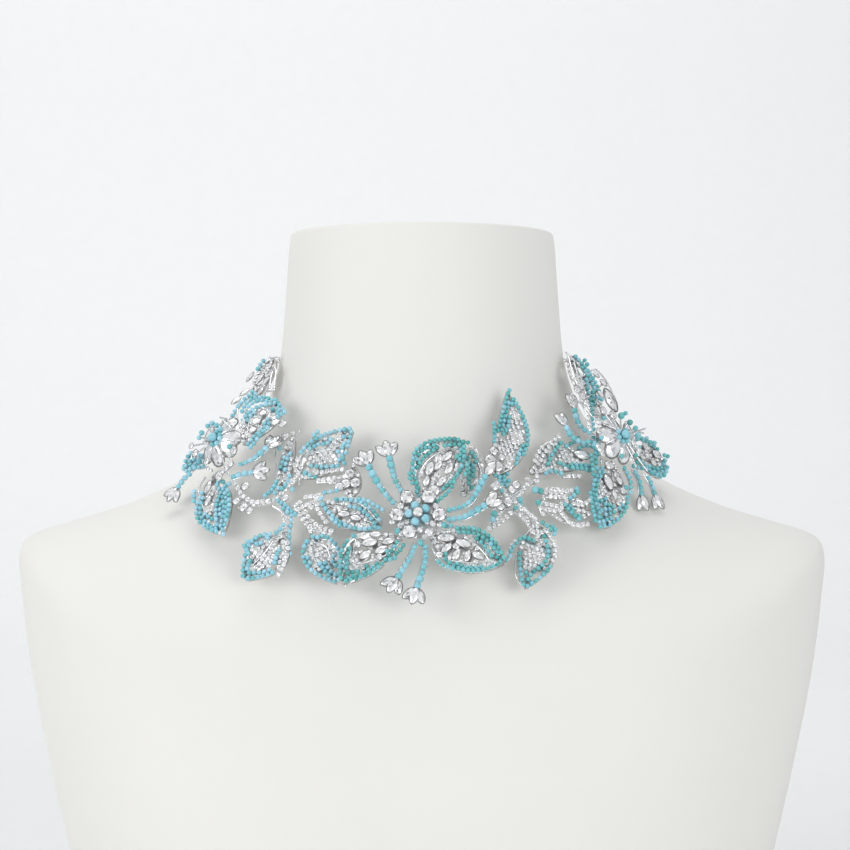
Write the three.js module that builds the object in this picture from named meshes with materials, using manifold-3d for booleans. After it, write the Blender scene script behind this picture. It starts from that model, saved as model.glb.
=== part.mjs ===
// A floral choker necklace on its plain neck bust.
// Millimetres, +Z up, the front looks along -Y, the origin is the middle of the bust's flat base.
import * as THREE from 'three';
import { mergeVertices } from 'three/addons/utils/BufferGeometryUtils.js';
import Module from 'manifold-3d';

const wasm = await Module();
wasm.setup();

const { sin, cos, PI, abs, sign, floor, min, max } = Math;
const degrees = PI / 180;

// ---------- driving dimensions ----------
const bustSegments = 30;           // facets round the bust
const plateThickness = 0.9;        // cast leaf and petal plates
const rimRaise = 0.6;              // raised edge and midrib of each plate
const wireRadius = 0.6;            // stamen and stem wire
const roundStoneRadius = 2.8;
const bigBeadRadius = 1.75;
const centreStoneRadius = 2;
const hubRadius = 9.8;
const hubThickness = 1.2;
const hubLift = 1.2;               // the front flower's hub stands this far out of its origin
const seatGap = 0.35;              // clearance of a stone over its seat
const stemRadius = 0.9;
const chainRadius = 2;
const chainSteps = 16;

// ---------- materials ----------
const material = {
  white: new THREE.MeshStandardMaterial({ color: 0xeceae6, roughness: 0.75, metalness: 0 }),
  silver: new THREE.MeshStandardMaterial({ color: 0xd4d6d8, roughness: 0.18, metalness: 1 }),
  crystal: new THREE.MeshStandardMaterial({ color: 0xf4f8fb, roughness: 0.03, metalness: 0.1 }),
  turquoise: new THREE.MeshStandardMaterial({ color: 0x5cbccb, roughness: 0.35, metalness: 0 }),
};

// ---------- the bust: cross-sections from the neck's top down to the base ----------
// Each section is a rounded oval; the front and back dip below the sides.
const bustSections = [
  { side: 56.6, sideZ: 322.5, front: 52.8, frontZ: 322.5, back: 52.8, backZ: 322.5, square: 2 },
  { side: 59.2, sideZ: 320.2, front: 55.4, frontZ: 320.2, back: 55.4, backZ: 320.2, square: 2 },
  { side: 60.9, sideZ: 298, front: 56.6, frontZ: 294, back: 57.2, backZ: 298, square: 2 },
  { side: 63.2, sideZ: 270, front: 58.2, frontZ: 258, back: 60.5, backZ: 271, square: 2 },
  { side: 67, sideZ: 254, front: 61, frontZ: 236, back: 64.5, backZ: 256, square: 2 },
  { side: 74, sideZ: 239, front: 66, frontZ: 219, back: 70.5, backZ: 241, square: 2 },
  { side: 88, sideZ: 225, front: 74, frontZ: 204, back: 80, backZ: 225, square: 2 },
  { side: 109, sideZ: 212, front: 83.5, frontZ: 189, back: 90, backZ: 207, square: 2 },
  { side: 133, sideZ: 201.5, front: 91.5, frontZ: 173, back: 97, backZ: 187, square: 2.05 },
  { side: 157, sideZ: 194, front: 97.5, frontZ: 157, back: 101, backZ: 168, square: 2.15 },
  { side: 173, sideZ: 189, front: 101, frontZ: 144, back: 103, backZ: 152, square: 2.3 },
  { side: 178.3, sideZ: 183, front: 103, frontZ: 132, back: 104, backZ: 138, square: 2.4 },
  { side: 177.4, sideZ: 167, front: 105, frontZ: 116, back: 105, backZ: 120, square: 2.4 },
  { side: 172.5, sideZ: 130, front: 106.5, frontZ: 90, back: 105, backZ: 92, square: 2.4 },
  { side: 163.5, sideZ: 85, front: 105.5, frontZ: 58, back: 102.5, backZ: 58, square: 2.4 },
  { side: 155, sideZ: 46, front: 103, frontZ: 30, back: 99, backZ: 30, square: 2.4 },
  { side: 148, sideZ: 0, front: 100, frontZ: 0, back: 96, backZ: 0, square: 2.4 },
];
const bustStations = [0, 1, 2, 3, 4, 5, 5.5, 6, 6.5, 7, 7.5, 8, 8.5, 9, 10, 10.5, 11, 12, 13, 14, 15, 16];

// ---------- leaves and petals ----------
// base and tip are the two ends of the midrib, face is [azimuth, elevation] of the front in degrees
// (azimuth 0 looks along -Y, 90 along +X), left and right are the half widths seen from the front,
// bend moves the middle to the left, cup lifts the edges, peak is the widest place.
const petalPeak = 0.55;
const leafPeak = 0.42;

// The front flower's petals are given in the flower's own frame: x right, y up, z out of the flower.
const frontFlower = { at: [-1.5, -92, 200], face: [0, 26] };
const frontPetals = {
  front_petal_upper:
    { base: [2.5, 6.5, -1.8], tip: [18, 33.2, 2], left: 11.5, right: 9.5, bend: 2.5, cup: 2.4 },
  front_petal_right:
    { base: [5, -7.5, -1.8], tip: [34.5, -20.5, 1], left: 10, right: 9.5, bend: -1.5, cup: 2.4 },
  front_petal_left:
    { base: [-7, -8.5, -1.8], tip: [-30.5, -29, 1], left: 8, right: 10, bend: -2, cup: 2.4 },
  front_petal_flap:
    { base: [18.5, 12, -7], tip: [22, 32.5, -4], left: 3.2, right: 4.2, bend: -1.5, cup: -2.2 },
};

// The leaves and the side flowers' petals are given in the necklace's frame.
const leaves = {
  left_leaf_inner:
    { base: [-16.5, -89, 196], tip: [-41, -80, 205], face: [-8, 26], left: 6.5, right: 6, cup: 1.4 },
  left_bud_leaf:
    { base: [-29, -79, 207], tip: [-28, -73, 220], face: [-10, 22], left: 3.4, right: 4, cup: 0.8 },
  left_leaf_upper:
    { base: [-52, -67, 216], tip: [-29, -66, 235], face: [-14, 20], left: 7, right: 9.5, cup: 1.6 },
  left_leaf_narrow:
    { base: [-58, -66, 209.5], tip: [-54, -53, 233], face: [-26, 24], left: 4, right: 3.2, cup: 0.8 },
  left_leaf_lower:
    { base: [-55.2, -86.2, 190.3], tip: [-71.5, -91, 174.5], face: [-16, 24],
      left: 9, right: 9.5, cup: 1.2 },
  left_leaf_middle:
    { base: [-44.5, -87, 191.5], tip: [-33.5, -97.5, 173.5], face: [-6, 24],
      left: 7, right: 8, cup: 1.2 },
  right_leaf_upper:
    { base: [30, -75, 216], tip: [36, -57, 250], face: [14, 20],
      left: 6, right: 8.5, bend: -3, cup: 1.8 },
  right_leaf_lower:
    { base: [48.5, -84, 195.5], tip: [41, -98, 171.5], face: [10, 24],
      left: 8, right: 7.5, bend: 1, cup: 1.4 },
  right_leaf_pointed:
    { base: [68, -56, 221], tip: [45, -70, 217], face: [22, 30],
      left: 5.5, right: 9.5, bend: -2.5, cup: 1.6 },
  right_leaf_forked:
    { base: [69, -74, 200.5], tip: [57, -77, 204.5], face: [20, 28], left: 5, right: 4.5, cup: 0.8 },
};
const sidePetals = {
  right_petal_upper:
    { base: [78, -42, 236.5], tip: [66, -16, 267], face: [42, 14],
      left: 7.5, right: 7, bend: 2, cup: 1.4 },
  right_petal_outer:
    { base: [90.5, -37, 223.5], tip: [106.3, -26, 219], face: [42, 34], left: 8.5, right: 9.5, cup: 1.2 },
  right_petal_lower:
    { base: [80.5, -50, 221.5], tip: [75.5, -73, 194.5], face: [28, 24], left: 8.5, right: 9, cup: 1.6 },
  left_petal_upper:
    { base: [-75, -54.5, 228.5], tip: [-61, -42, 245.5], face: [-34, 18], left: 9, right: 8, cup: 1.6 },
  left_petal_outer:
    { base: [-93.5, -40.5, 222.8], tip: [-102.3, -35, 217.5], face: [-42, 34],
      left: 5, right: 5.5, cup: 1 },
  left_petal_lower:
    { base: [-87, -51, 216], tip: [-82, -73.5, 192], face: [-28, 24], left: 6.5, right: 10.5, cup: 1.4 },
  left_petal_back:
    { base: [-70.5, -29, 247.5], tip: [-66.5, -9, 266.5], face: [-38, 8], left: 7, right: 6, cup: 0.8 },
};

// ---------- flower centres ----------
const rightFlower = { at: [84, -46.5, 231.7], face: [42, 20] };
const leftFlower = { at: [-86.3, -46.5, 230.5], face: [-42, 20] };
const roundStoneAngles = [357, 60, 121, 183, 246];
const roundStoneRing = 8.6;
const centreBeadRing = 3.7;
const centreBeadAngles = [36, 108, 180, 252, 324];
const pearAngles = { right: [22, 118, 172, 222, 272, 322], left: [160, 62, 6, 332, 284, 234] };
const pearRing = 6.5;
const pearReach = 5.4;
const pearTilt = 22;               // degrees that each pear leans outwards over the small hub
const pearLift = 0.2;
const sideHubScale = 0.5;
const sideBeadRadius = 2.1;

// ---------- stamens: a wire with its two largest beads, ended by a spray of marquise stones ----------
// from, over and to lie on the wire in the frame named; spray is the number of stones at the end.
const frontStamens = {
  front_stamen_upper_left:
    { from: [-9.4, 4.9, 1], over: [-14.5, 11, 1.5], to: [-20.8, 22.8, 1.5], spray: 3 },
  front_stamen_upper: { from: [-6.6, 10.4, 1], over: [-9.4, 15.5, 1.8], to: [-12, 26.8, 1.5], spray: 3 },
  front_stamen_lower:
    { from: [-0.8, -12.2, 1], over: [-3.2, -18.5, 1], to: [-8.6, -27.5, 0.5], spray: 3 },
  front_stamen_bottom: { from: [3, -12.4, 1], over: [3, -19.5, 1], to: [-0.6, -31.8, 0.5], spray: 3 },
  front_stamen_right_upper: { from: [11.6, 1.8, 1.8], over: [20, 4.6, 2.6], to: [28, 18, 2.2], spray: 1 },
  front_stamen_right: { from: [11.8, -2.2, 2.2], over: [18, -1.6, 3], to: [28, 4.5, 2.4], spray: 2 },
};
const sideStamens = {
  right_stamen_upper:
    { from: [73, -53.5, 232.5], over: [67.2, -53, 236.5], to: [64.6, -49, 244.5], spray: 2 },
  right_stamen_inner:
    { from: [69, -59, 229], over: [63.5, -58.5, 231.8], to: [60.3, -56, 237], spray: 2 },
  right_stamen_lower:
    { from: [90.3, -48, 218], over: [92.6, -49.3, 213], to: [93.2, -50.8, 206.5], spray: 2 },
  right_stamen_outer:
    { from: [95.8, -44, 216], over: [98.2, -44, 211.8], to: [99.6, -46, 206.5], spray: 2 },
  left_stamen_outer:
    { from: [-98, -43, 217.2], over: [-102, -42.5, 213.8], to: [-105, -43.5, 209.3], spray: 3 },
  left_stamen_upper:
    { from: [-77.5, -61, 220], over: [-71, -61.5, 222.5], to: [-64.6, -58, 228], spray: 3 },
  left_stamen_inner:
    { from: [-79.5, -61, 215], over: [-75.5, -62.5, 216.4], to: [-70, -63, 217.2], spray: 3 },
};

// ---------- stems: soldered wires that carry the leaves of one spray ----------
const stems = {
  left_spray_stem: [
    [[-60, -71, 206], [-59.2, -69, 207.5], [-58.6, -67.5, 208.4]],
    [[-60, -71, 206], [-56, -70, 211], [-53, -68.5, 214.6]],
    [[-76, -61, 210], [-74, -66.5, 204], [-66, -70, 204], [-60, -71, 206]],
    [[-60, -71, 206], [-57, -76, 201], [-56, -81, 195], [-55.2, -84.8, 191.6]],
    [[-60, -71, 206], [-52, -75, 201.5], [-47, -80, 196.5], [-45, -85.5, 192.8]],
    [[-52, -75, 201.5], [-45, -78, 204.5], [-42.6, -78.8, 205]],
  ],
  right_spray_stem: [
    [[30, -76, 213.6], [34, -77.5, 209], [36, -77, 206], [41, -76, 209], [44, -73, 212.5]],
    [[36, -77, 206], [42, -80, 202], [46.5, -82, 198], [48, -83, 196.6]],
    [[36, -77, 206], [32, -82, 201], [28, -87, 194]],
  ],
  right_tendril: [
    [[38, -90, 190], [36.4, -92.4, 187.4], [35, -94.5, 184.6], [33.9, -96.2, 182]],
  ],
  right_fork: [
    [[63.5, -72.5, 208.5], [55, -73.5, 210], [47.5, -74, 209.5]],
    [[66, -79.5, 195], [57, -79, 198], [47.5, -77.5, 204.5]],
    [[52, -73.8, 210], [50, -77.8, 206], [49.5, -78, 203.2]],
  ],
};

// ---------- the hidden stretch behind the neck ----------
const backPath = { side: 69, back: 66.5, sideZ: 265, rise: 5 };

// ---------- small helpers ----------
const vec = (a) => new THREE.Vector3(...a);

// The outward direction for an azimuth and elevation in degrees.
function facing([azimuth, elevation]) {
  const turn = azimuth * degrees;
  const rise = elevation * degrees;
  return new THREE.Vector3(sin(turn) * cos(rise), -cos(turn) * cos(rise), sin(rise));
}

// The frame of a flower or a stone: x right, y up, z out.
function frameOf({ at, face }) {
  const out = facing(face);
  const right = new THREE.Vector3(cos(face[0] * degrees), sin(face[0] * degrees), 0);
  const up = out.clone().cross(right);
  return new THREE.Matrix4().makeBasis(right, up, out).setPosition(...at);
}

// A closed body from vertices and triangles, its faces turned outwards.
function body(vertices, triangles) {
  let volume = 0;
  for (const [a, b, c] of triangles) {
    volume += vertices[a].dot(vertices[b].clone().cross(vertices[c]));
  }
  const index = triangles.flatMap(([a, b, c]) => (volume < 0 ? [a, c, b] : [a, b, c]));
  const geometry = new THREE.BufferGeometry();
  const positions = vertices.flatMap((v) => v.toArray());
  geometry.setAttribute('position', new THREE.Float32BufferAttribute(positions, 3));
  geometry.setIndex(index);
  return geometry;
}

// A body skinned over rings with equal numbers of points and capped at both ends.
function skin(rings) {
  const n = rings[0].length;
  const vertices = rings.flat();
  const triangles = [];
  for (let i = 0; i < rings.length - 1; i++) {
    const next = i + 1;
    for (let j = 0; j < n; j++) {
      const [a, b] = [i * n + j, i * n + (j + 1) % n];
      const [c, d] = [next * n + j, next * n + (j + 1) % n];
      triangles.push([a, b, d], [a, d, c]);
    }
  }
  const last = (rings.length - 1) * n;
  for (let j = 1; j < n - 1; j++) {
    triangles.push([0, j + 1, j], [last, last + j, last + j + 1]);
  }
  return body(vertices, triangles);
}

// Any three.js geometry as a closed mesh with shared vertices.
function welded(geometry) {
  geometry.deleteAttribute('normal');
  geometry.deleteAttribute('uv');
  return mergeVertices(geometry, 1e-4);
}

// Overlapping closed bodies soldered into one.
function soldered(geometries) {
  const solids = geometries.map((geometry) => new wasm.Manifold(new wasm.Mesh({
    numProp: 3,
    vertProperties: new Float32Array(geometry.attributes.position.array),
    triVerts: new Uint32Array(geometry.index.array),
  })));
  const mesh = solids.reduce((whole, solid) => whole.add(solid)).getMesh();
  const geometry = new THREE.BufferGeometry();
  geometry.setAttribute('position', new THREE.BufferAttribute(new Float32Array(mesh.vertProperties), 3));
  geometry.setIndex(new THREE.BufferAttribute(new Uint32Array(mesh.triVerts), 1));
  return geometry;
}

// ---------- the bust ----------
function bustSection(station) {
  const i = min(floor(station), bustSections.length - 2);
  const f = station - i;
  const near = [-1, 0, 1, 2].map((k) => bustSections[min(max(i + k, 0), bustSections.length - 1)]);
  const blended = {};
  for (const key of Object.keys(bustSections[0])) {
    const [p, q, r, s] = near.map((section) => section[key]);
    blended[key] = 0.5 * (2 * q + (r - p) * f + (2 * p - 5 * q + 4 * r - s) * f * f
      + (3 * q - p - 3 * r + s) * f * f * f);
  }
  return blended;
}

function bustPoint(station, angle) {
  const s = bustSection(station);
  const reach = (abs(cos(angle)) ** s.square + abs(sin(angle)) ** s.square) ** (-1 / s.square);
  const x = cos(angle) * reach;
  const y = sin(angle) * reach;
  const [depth, dip] = y > 0 ? [s.front, s.frontZ] : [s.back, s.backZ];
  return new THREE.Vector3(s.side * x, -depth * y, s.sideZ + (dip - s.sideZ) * y * y);
}

function neckBust() {
  const rings = bustStations.map((station) => Array.from({ length: bustSegments },
    (_, j) => bustPoint(station, (j / bustSegments) * 2 * PI)));
  return skin(rings);
}

// ---------- leaves and petals ----------
// A point on the plate: t runs from base to tip, s from the left edge (-1) to the right edge (1).
function plateSurface(row, peak) {
  const base = vec(row.base);
  const axis = vec(row.tip).sub(base);
  const along = axis.clone().normalize();
  const out = row.face ? facing(row.face) : vec([0, 0, 1]);
  out.addScaledVector(along, -out.dot(along)).normalize();
  const left = out.clone().cross(along);
  const power = Math.log(0.5) / Math.log(peak);
  return (t, s) => {
    const fullness = 0.1 + 0.9 * sin(PI * t ** power) ** 0.85;
    const middle = 4 * t * (1 - t);
    const half = s < 0 ? row.left : row.right;
    return base.clone().addScaledVector(axis, t)
      .addScaledVector(left, -s * half * fullness + (row.bend ?? 0) * middle)
      .addScaledVector(out, row.cup * s * s * fullness);
  };
}

// A cast plate with a raised rim and midrib, cut through between them.
const plateRows = 7;
const plateColumns = [-1, -0.78, -0.16, 0, 0.16, 0.78, 1];
const raised = [1, 1, 0, 1, 0, 1, 1];
const isOpening = (i, j) => i % 2 === 1 && i < plateRows - 1 && (j === 1 || j === 4);

function castPlate(shape, peak) {
  const surface = plateSurface(shape, peak);
  const step = 1e-3;
  const vertices = [];
  const columns = plateColumns.length;
  for (const front of [true, false]) {
    for (let i = 0; i <= plateRows; i++) {
      const t = i / plateRows;
      plateColumns.forEach((s, j) => {
        const tc = min(max(t, 0.05), 0.95);
        const normal = surface(tc + step, s).sub(surface(tc - step, s))
          .cross(surface(tc, s + step).sub(surface(tc, s - step))).normalize();
        const lift = front ? plateThickness / 2 + raised[j] * rimRaise : -plateThickness / 2;
        vertices.push(surface(t, s).addScaledVector(normal, lift));
      });
    }
  }
  const back = (plateRows + 1) * columns;
  const at = (i, j) => i * columns + j;
  const solid = (i, j) => i >= 0 && j >= 0 && i < plateRows && j < columns - 1 && !isOpening(i, j);
  const triangles = [];
  const quad = (a, b, c, d) => triangles.push([a, b, c], [a, c, d]);
  for (let i = 0; i < plateRows; i++) {
    for (let j = 0; j < columns - 1; j++) {
      if (!solid(i, j)) continue;
      const [a, b, c, d] = [at(i, j), at(i, j + 1), at(i + 1, j + 1), at(i + 1, j)];
      quad(a, b, c, d);
      quad(a + back, d + back, c + back, b + back);
      const edges = [[i - 1, j, b, a], [i + 1, j, d, c], [i, j - 1, a, d], [i, j + 1, c, b]];
      for (const [row, column, from, to] of edges) {
        if (!solid(row, column)) quad(from, to, to + back, from + back);
      }
    }
  }
  return body(vertices, triangles);
}

// ---------- wires and beads ----------
// A bead's swelling is two shoulder rings and an equator, in parts of its radius.
const beadRings = [{ along: -0.88, across: 0.47 }, { along: 0, across: 1 }, { along: 0.88, across: 0.47 }];
const beadRoom = 1.15;             // no other ring of the wire is nearer to a bead's middle, in radii

// A round wire along a smooth curve; beads is a list of { t, radius } swollen on it.
function wire(points, radius, sides, steps, beads = []) {
  const curve = new THREE.CatmullRomCurve3(points.map((p) => (p.isVector3 ? p : vec(p))));
  const length = curve.getLength();
  const stations = [];
  for (let i = 0; i <= steps; i++) {
    stations.push({ t: i / steps, r: radius });
  }
  for (const bead of beads) {
    const reach = bead.radius / length;
    for (const { along, across } of beadRings) {
      stations.push({ t: bead.t + along * reach, r: bead.radius * across, bead: true });
    }
  }
  const clear = (t) => beads.every((bead) => abs(t - bead.t) > (beadRoom * bead.radius) / length);
  const kept = stations.filter((station) => station.bead || clear(station.t)).sort((a, b) => a.t - b.t);
  let across = null;
  const rings = kept.map(({ t, r }) => {
    const centre = curve.getPointAt(min(max(t, 0), 1));
    const along = curve.getTangentAt(min(max(t, 0), 1));
    across ??= new THREE.Vector3(0, -1, 0.3).cross(along).normalize();
    across.addScaledVector(along, -across.dot(along)).normalize();
    const other = along.clone().cross(across);
    return Array.from({ length: sides }, (_, k) => centre.clone()
      .addScaledVector(across, r * cos((k / sides) * 2 * PI))
      .addScaledVector(other, r * sin((k / sides) * 2 * PI)));
  });
  return skin(rings);
}

const beadGeometry = (radius) => welded(new THREE.SphereGeometry(radius, 10, 7));

// ---------- cut stones ----------
// An outline cut with a flat table, a crown, a girdle and a flat-bottomed pavilion, its table towards +z.
const roundOutline = (a) => [cos(a), sin(a)];
const marquiseOutline = (a) => [cos(a), 0.52 * sign(sin(a)) * abs(sin(a)) ** 1.35];
const pearOutline = (a) => [cos(a), 0.62 * sin(a) * (1 - 0.32 * cos(a))];

function cutStone(outline, reach, sides, { table = 0.58, crown = 0.32, pavilion = 0.5 } = {}) {
  const level = (scale, z, turn) => Array.from({ length: sides }, (_, k) => {
    const [x, y] = outline(((k + turn) / sides) * 2 * PI);
    return new THREE.Vector3(x * reach * scale, y * reach * scale, z * reach);
  });
  return skin([level(0.4, -pavilion, 0), level(1, 0, 0), level(table, crown, 0)]);
}

// ---------- stamens ----------
const stamenBeads = [{ t: 0.68, radius: bigBeadRadius }, { t: 0.88, radius: bigBeadRadius }];
const spraySpread = 42;            // degrees between the stones at a stamen's end
const sprayStone = 3.7;            // half length of each
const sprayReach = 0.75;           // from the wire's end to a stone's middle, in half lengths
const sprayStep = 0.35;            // every other stone stands forward by this

function stamen({ from, over, to, spray }, out) {
  const pieces = [wire([from, over, to], wireRadius, 10, 3, stamenBeads)];
  const end = vec(to);
  const along = end.clone().sub(vec(over)).normalize();
  const across = out.clone().cross(along).normalize();
  const front = along.clone().cross(across);
  for (let i = 0; i < spray; i++) {
    const turn = (i - (spray - 1) / 2) * spraySpread * degrees;
    const x = along.clone().multiplyScalar(cos(turn)).addScaledVector(across, sin(turn));
    const y = front.clone().cross(x);
    const middle = end.clone().addScaledVector(x, sprayStone * sprayReach);
    middle.addScaledVector(front, sprayStep * (i % 2));
    const placing = new THREE.Matrix4().makeBasis(x, y, front).setPosition(middle);
    pieces.push(cutStone(marquiseOutline, sprayStone, 8).applyMatrix4(placing));
  }
  return soldered(pieces);
}

// ---------- flower centres ----------
function hubPlate(sides) {
  const profile = [[0, -hubThickness], [hubRadius * 0.92, -hubThickness], [hubRadius, -hubThickness / 2],
    [hubRadius * 0.96, 0], [0, 0]];
  const plate = new THREE.LatheGeometry(profile.map(([x, y]) => new THREE.Vector2(x, y)), sides);
  return welded(plate.rotateX(PI / 2));
}

// A side flower's centre: pear stones that radiate from a small hub, lean outwards and are fused to it.
function pearCluster(angles) {
  const stones = angles.map((angle) => {
    const stone = cutStone(pearOutline, pearReach, 8, { crown: 0.22, pavilion: 0.3 });
    const lean = new THREE.Matrix4().makeRotationY(pearTilt * degrees);
    return stone.rotateZ(PI).applyMatrix4(lean).applyMatrix4(onRing(pearRing, angle, pearLift));
  });
  return soldered([hubPlate(12).scale(sideHubScale, sideHubScale, 1), ...stones]);
}

function onRing(radius, angle, height) {
  const turn = angle * degrees;
  return new THREE.Matrix4().makeTranslation(radius * cos(turn), radius * sin(turn), height)
    .multiply(new THREE.Matrix4().makeRotationZ(turn));
}

// ---------- the chains and the clasp ----------
function backPoint(turn) {
  const { side, back, sideZ, rise } = backPath;
  const a = turn * degrees;
  return new THREE.Vector3(side * cos(a), back * sin(a), sideZ + rise * sin(a));
}

// The chain's own outline as a round tube; its fine links are too small to model here.
function chainTube(firstTurn, lastTurn) {
  const turns = Array.from({ length: 9 }, (_, i) => firstTurn + (i / 8) * (lastTurn - firstTurn));
  return wire(turns.map(backPoint), chainRadius, 8, chainSteps);
}

const claspRadius = 3;
const claspHalfTurn = 7;
const claspClearTurn = 0.6;
const chainStartTurn = { right: -12.5, left: -6.5 };

function clasp() {
  const ends = [90 - claspHalfTurn, 90, 90 + claspHalfTurn].map(backPoint);
  return wire(ends, claspRadius, 12, 4);
}

// ---------- the assembly ----------
const necklaceOnBust = new THREE.Group();

function add(parent, name, geometry, finish, matrix) {
  const mesh = new THREE.Mesh(geometry, material[finish]);
  mesh.name = name;
  if (matrix) mesh.applyMatrix4(matrix);
  parent.add(mesh);
}

function flowerGroup(flower) {
  const group = new THREE.Group();
  group.applyMatrix4(frameOf(flower));
  necklaceOnBust.add(group);
  return group;
}

add(necklaceOnBust, 'neck_bust', neckBust(), 'white');

const front = flowerGroup(frontFlower);
const outOfFlower = new THREE.Vector3(0, 0, 1);
const roundStoneHeight = hubLift + seatGap + roundStoneRadius * 0.5;
const centreBeadHeight = hubLift + seatGap + bigBeadRadius;
const centreStoneHeight = centreBeadHeight + 1.45;
add(front, 'front_flower_hub', hubPlate(16), 'silver', new THREE.Matrix4().makeTranslation(0, 0, hubLift));
for (const [name, row] of Object.entries(frontPetals)) {
  add(front, name, castPlate(row, petalPeak), 'silver');
}
for (const [name, row] of Object.entries(frontStamens)) {
  add(front, name, stamen(row, outOfFlower), 'silver');
}
roundStoneAngles.forEach((angle, i) => {
  const stone = cutStone(roundOutline, roundStoneRadius, 12);
  const place = onRing(roundStoneRing, angle, roundStoneHeight);
  add(front, `front_round_stone_${i + 1}`, stone, 'crystal', place);
});
centreBeadAngles.forEach((angle, i) => {
  const place = onRing(centreBeadRing, angle, centreBeadHeight);
  add(front, `front_centre_bead_${i + 1}`, beadGeometry(bigBeadRadius), 'turquoise', place);
});
add(front, 'front_centre_stone', cutStone(roundOutline, centreStoneRadius, 12), 'crystal',
  new THREE.Matrix4().makeTranslation(0, 0, centreStoneHeight));

for (const [side, flower] of [['right', rightFlower], ['left', leftFlower]]) {
  const group = flowerGroup(flower);
  const beadHeight = pearReach * sin(pearTilt * degrees) + sideBeadRadius;
  add(group, `${side}_flower_centre`, pearCluster(pearAngles[side]), 'silver');
  add(group, `${side}_centre_bead`, beadGeometry(sideBeadRadius), 'turquoise',
    new THREE.Matrix4().makeTranslation(0, 0, beadHeight));
}
for (const [name, row] of Object.entries(sidePetals)) {
  add(necklaceOnBust, name, castPlate(row, petalPeak), 'silver');
}
for (const [name, row] of Object.entries(sideStamens)) {
  const side = name.startsWith('left') ? -1 : 1;
  add(necklaceOnBust, name, stamen(row, facing([side * 35, 25])), 'silver');
}
for (const [name, row] of Object.entries(leaves)) {
  add(necklaceOnBust, name, castPlate(row, leafPeak), 'silver');
}
for (const [name, branches] of Object.entries(stems)) {
  add(necklaceOnBust, name, soldered(branches.map((path) => wire(path, stemRadius, 6, 4))), 'silver');
}
const chainEndTurn = 90 - claspHalfTurn - claspClearTurn;
add(necklaceOnBust, 'right_back_chain', chainTube(chainStartTurn.right, chainEndTurn), 'silver');
add(necklaceOnBust, 'left_back_chain', chainTube(180 - chainStartTurn.left, 180 - chainEndTurn), 'silver');
add(necklaceOnBust, 'clasp', clasp(), 'silver');

export default necklaceOnBust;
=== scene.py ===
import math

import bmesh
import bpy
import numpy as np
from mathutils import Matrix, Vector


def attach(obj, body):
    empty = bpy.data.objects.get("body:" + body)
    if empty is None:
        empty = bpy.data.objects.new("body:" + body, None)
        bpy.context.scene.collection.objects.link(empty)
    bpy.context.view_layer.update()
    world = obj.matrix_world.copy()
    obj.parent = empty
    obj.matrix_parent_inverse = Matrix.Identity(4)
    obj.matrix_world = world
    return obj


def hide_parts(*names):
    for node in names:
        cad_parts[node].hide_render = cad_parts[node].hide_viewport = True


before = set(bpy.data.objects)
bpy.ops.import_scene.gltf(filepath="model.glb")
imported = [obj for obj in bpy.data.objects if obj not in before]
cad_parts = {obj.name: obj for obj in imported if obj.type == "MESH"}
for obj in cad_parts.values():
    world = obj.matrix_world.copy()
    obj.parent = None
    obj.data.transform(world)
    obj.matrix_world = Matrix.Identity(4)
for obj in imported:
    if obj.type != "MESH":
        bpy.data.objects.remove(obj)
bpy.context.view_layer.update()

rng = np.random.default_rng(11)

# Lengths below are millimetres in the model's frame; MM turns them into Blender's metres.
MM = 0.001

# ---------- driving sizes ----------
SEED = 1.0                  # seed bead radius
BEAD_PITCH = 2.03           # along a string, in bead radii
STRAND = 1.8                # between neighbouring strings, in bead radii
PAVE = 1.08                 # pave stone radius
GRAIN_RADIUS = 0.34
GRAIN_SPREAD = 0.74         # of a grain from its stone's middle, in stone radii, each way
THREAD = 0.42               # radius of the wire under a string of beads
ROW_WIRE = 0.6              # and under a row of stones
WIRE_SIDES = 6
PLATE = 0.9                 # plate thickness
RIM_RAISE = 0.6
WIRE = 0.6
ROUND_STONE = 2.8
CENTRE_STONE = 2.0
BIG_BEAD = 1.75
SIDE_BEAD = 2.1
HUB_LIFT = 1.2
HUB_RADIUS = 9.8
SEAT_GAP = 0.35

# Heights over a plate's middle. BED carries the stones' seats.
BED = PLATE / 2 + 0.15
WIRE_SINK = 0.1             # of the wire under a string, below BED
BEAD_SEAT = 0.35            # of a bead's seat, above BED
ROW_LIFT = 0.75             # of stones in a row and of bright wires, above BED
CUT_LIFT = 1.1              # of large stones, above BED

# Insets from a plate's edge, and heights: a negative inset lies outside the edge.
RIM_BEADS = (-0.1, BED + 0.8)
RIM_STONES = (0.5, BED + 0.55)
EDGE_STONES = (-0.8, 0.2)

CROWDING = 0.8              # least distance of neighbours' middles, over the sum of their radii

# Hues run from 0, deep teal, to 1, pale blue.
HUES = {"front": 0.3, "left": 0.78, "right": 0.5}
STAMEN_HUES = {"front": 0.62, "left": 0.8, "right": 0.62}


# ---------- materials ----------
def new_material(name):
    material = bpy.data.materials.new(name)
    material.use_nodes = True
    nodes = material.node_tree.nodes
    return material, nodes, material.node_tree.links, nodes["Principled BSDF"]


def noise(nodes, links, scale, detail=3.0):
    coordinates = nodes.new("ShaderNodeTexCoord")
    texture = nodes.new("ShaderNodeTexNoise")
    texture.inputs["Scale"].default_value = scale
    texture.inputs["Detail"].default_value = detail
    links.new(coordinates.outputs["Object"], texture.inputs["Vector"])
    return texture.outputs["Fac"]


# Reads each face's value: a bead's tint, or on a stone the random facet value that is painted as a bright or
# dark reflection.
def face_tint_and_glint(nodes):
    attribute = nodes.new("ShaderNodeAttribute")
    attribute.attribute_name = "tint"
    return attribute.outputs["Fac"]


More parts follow.
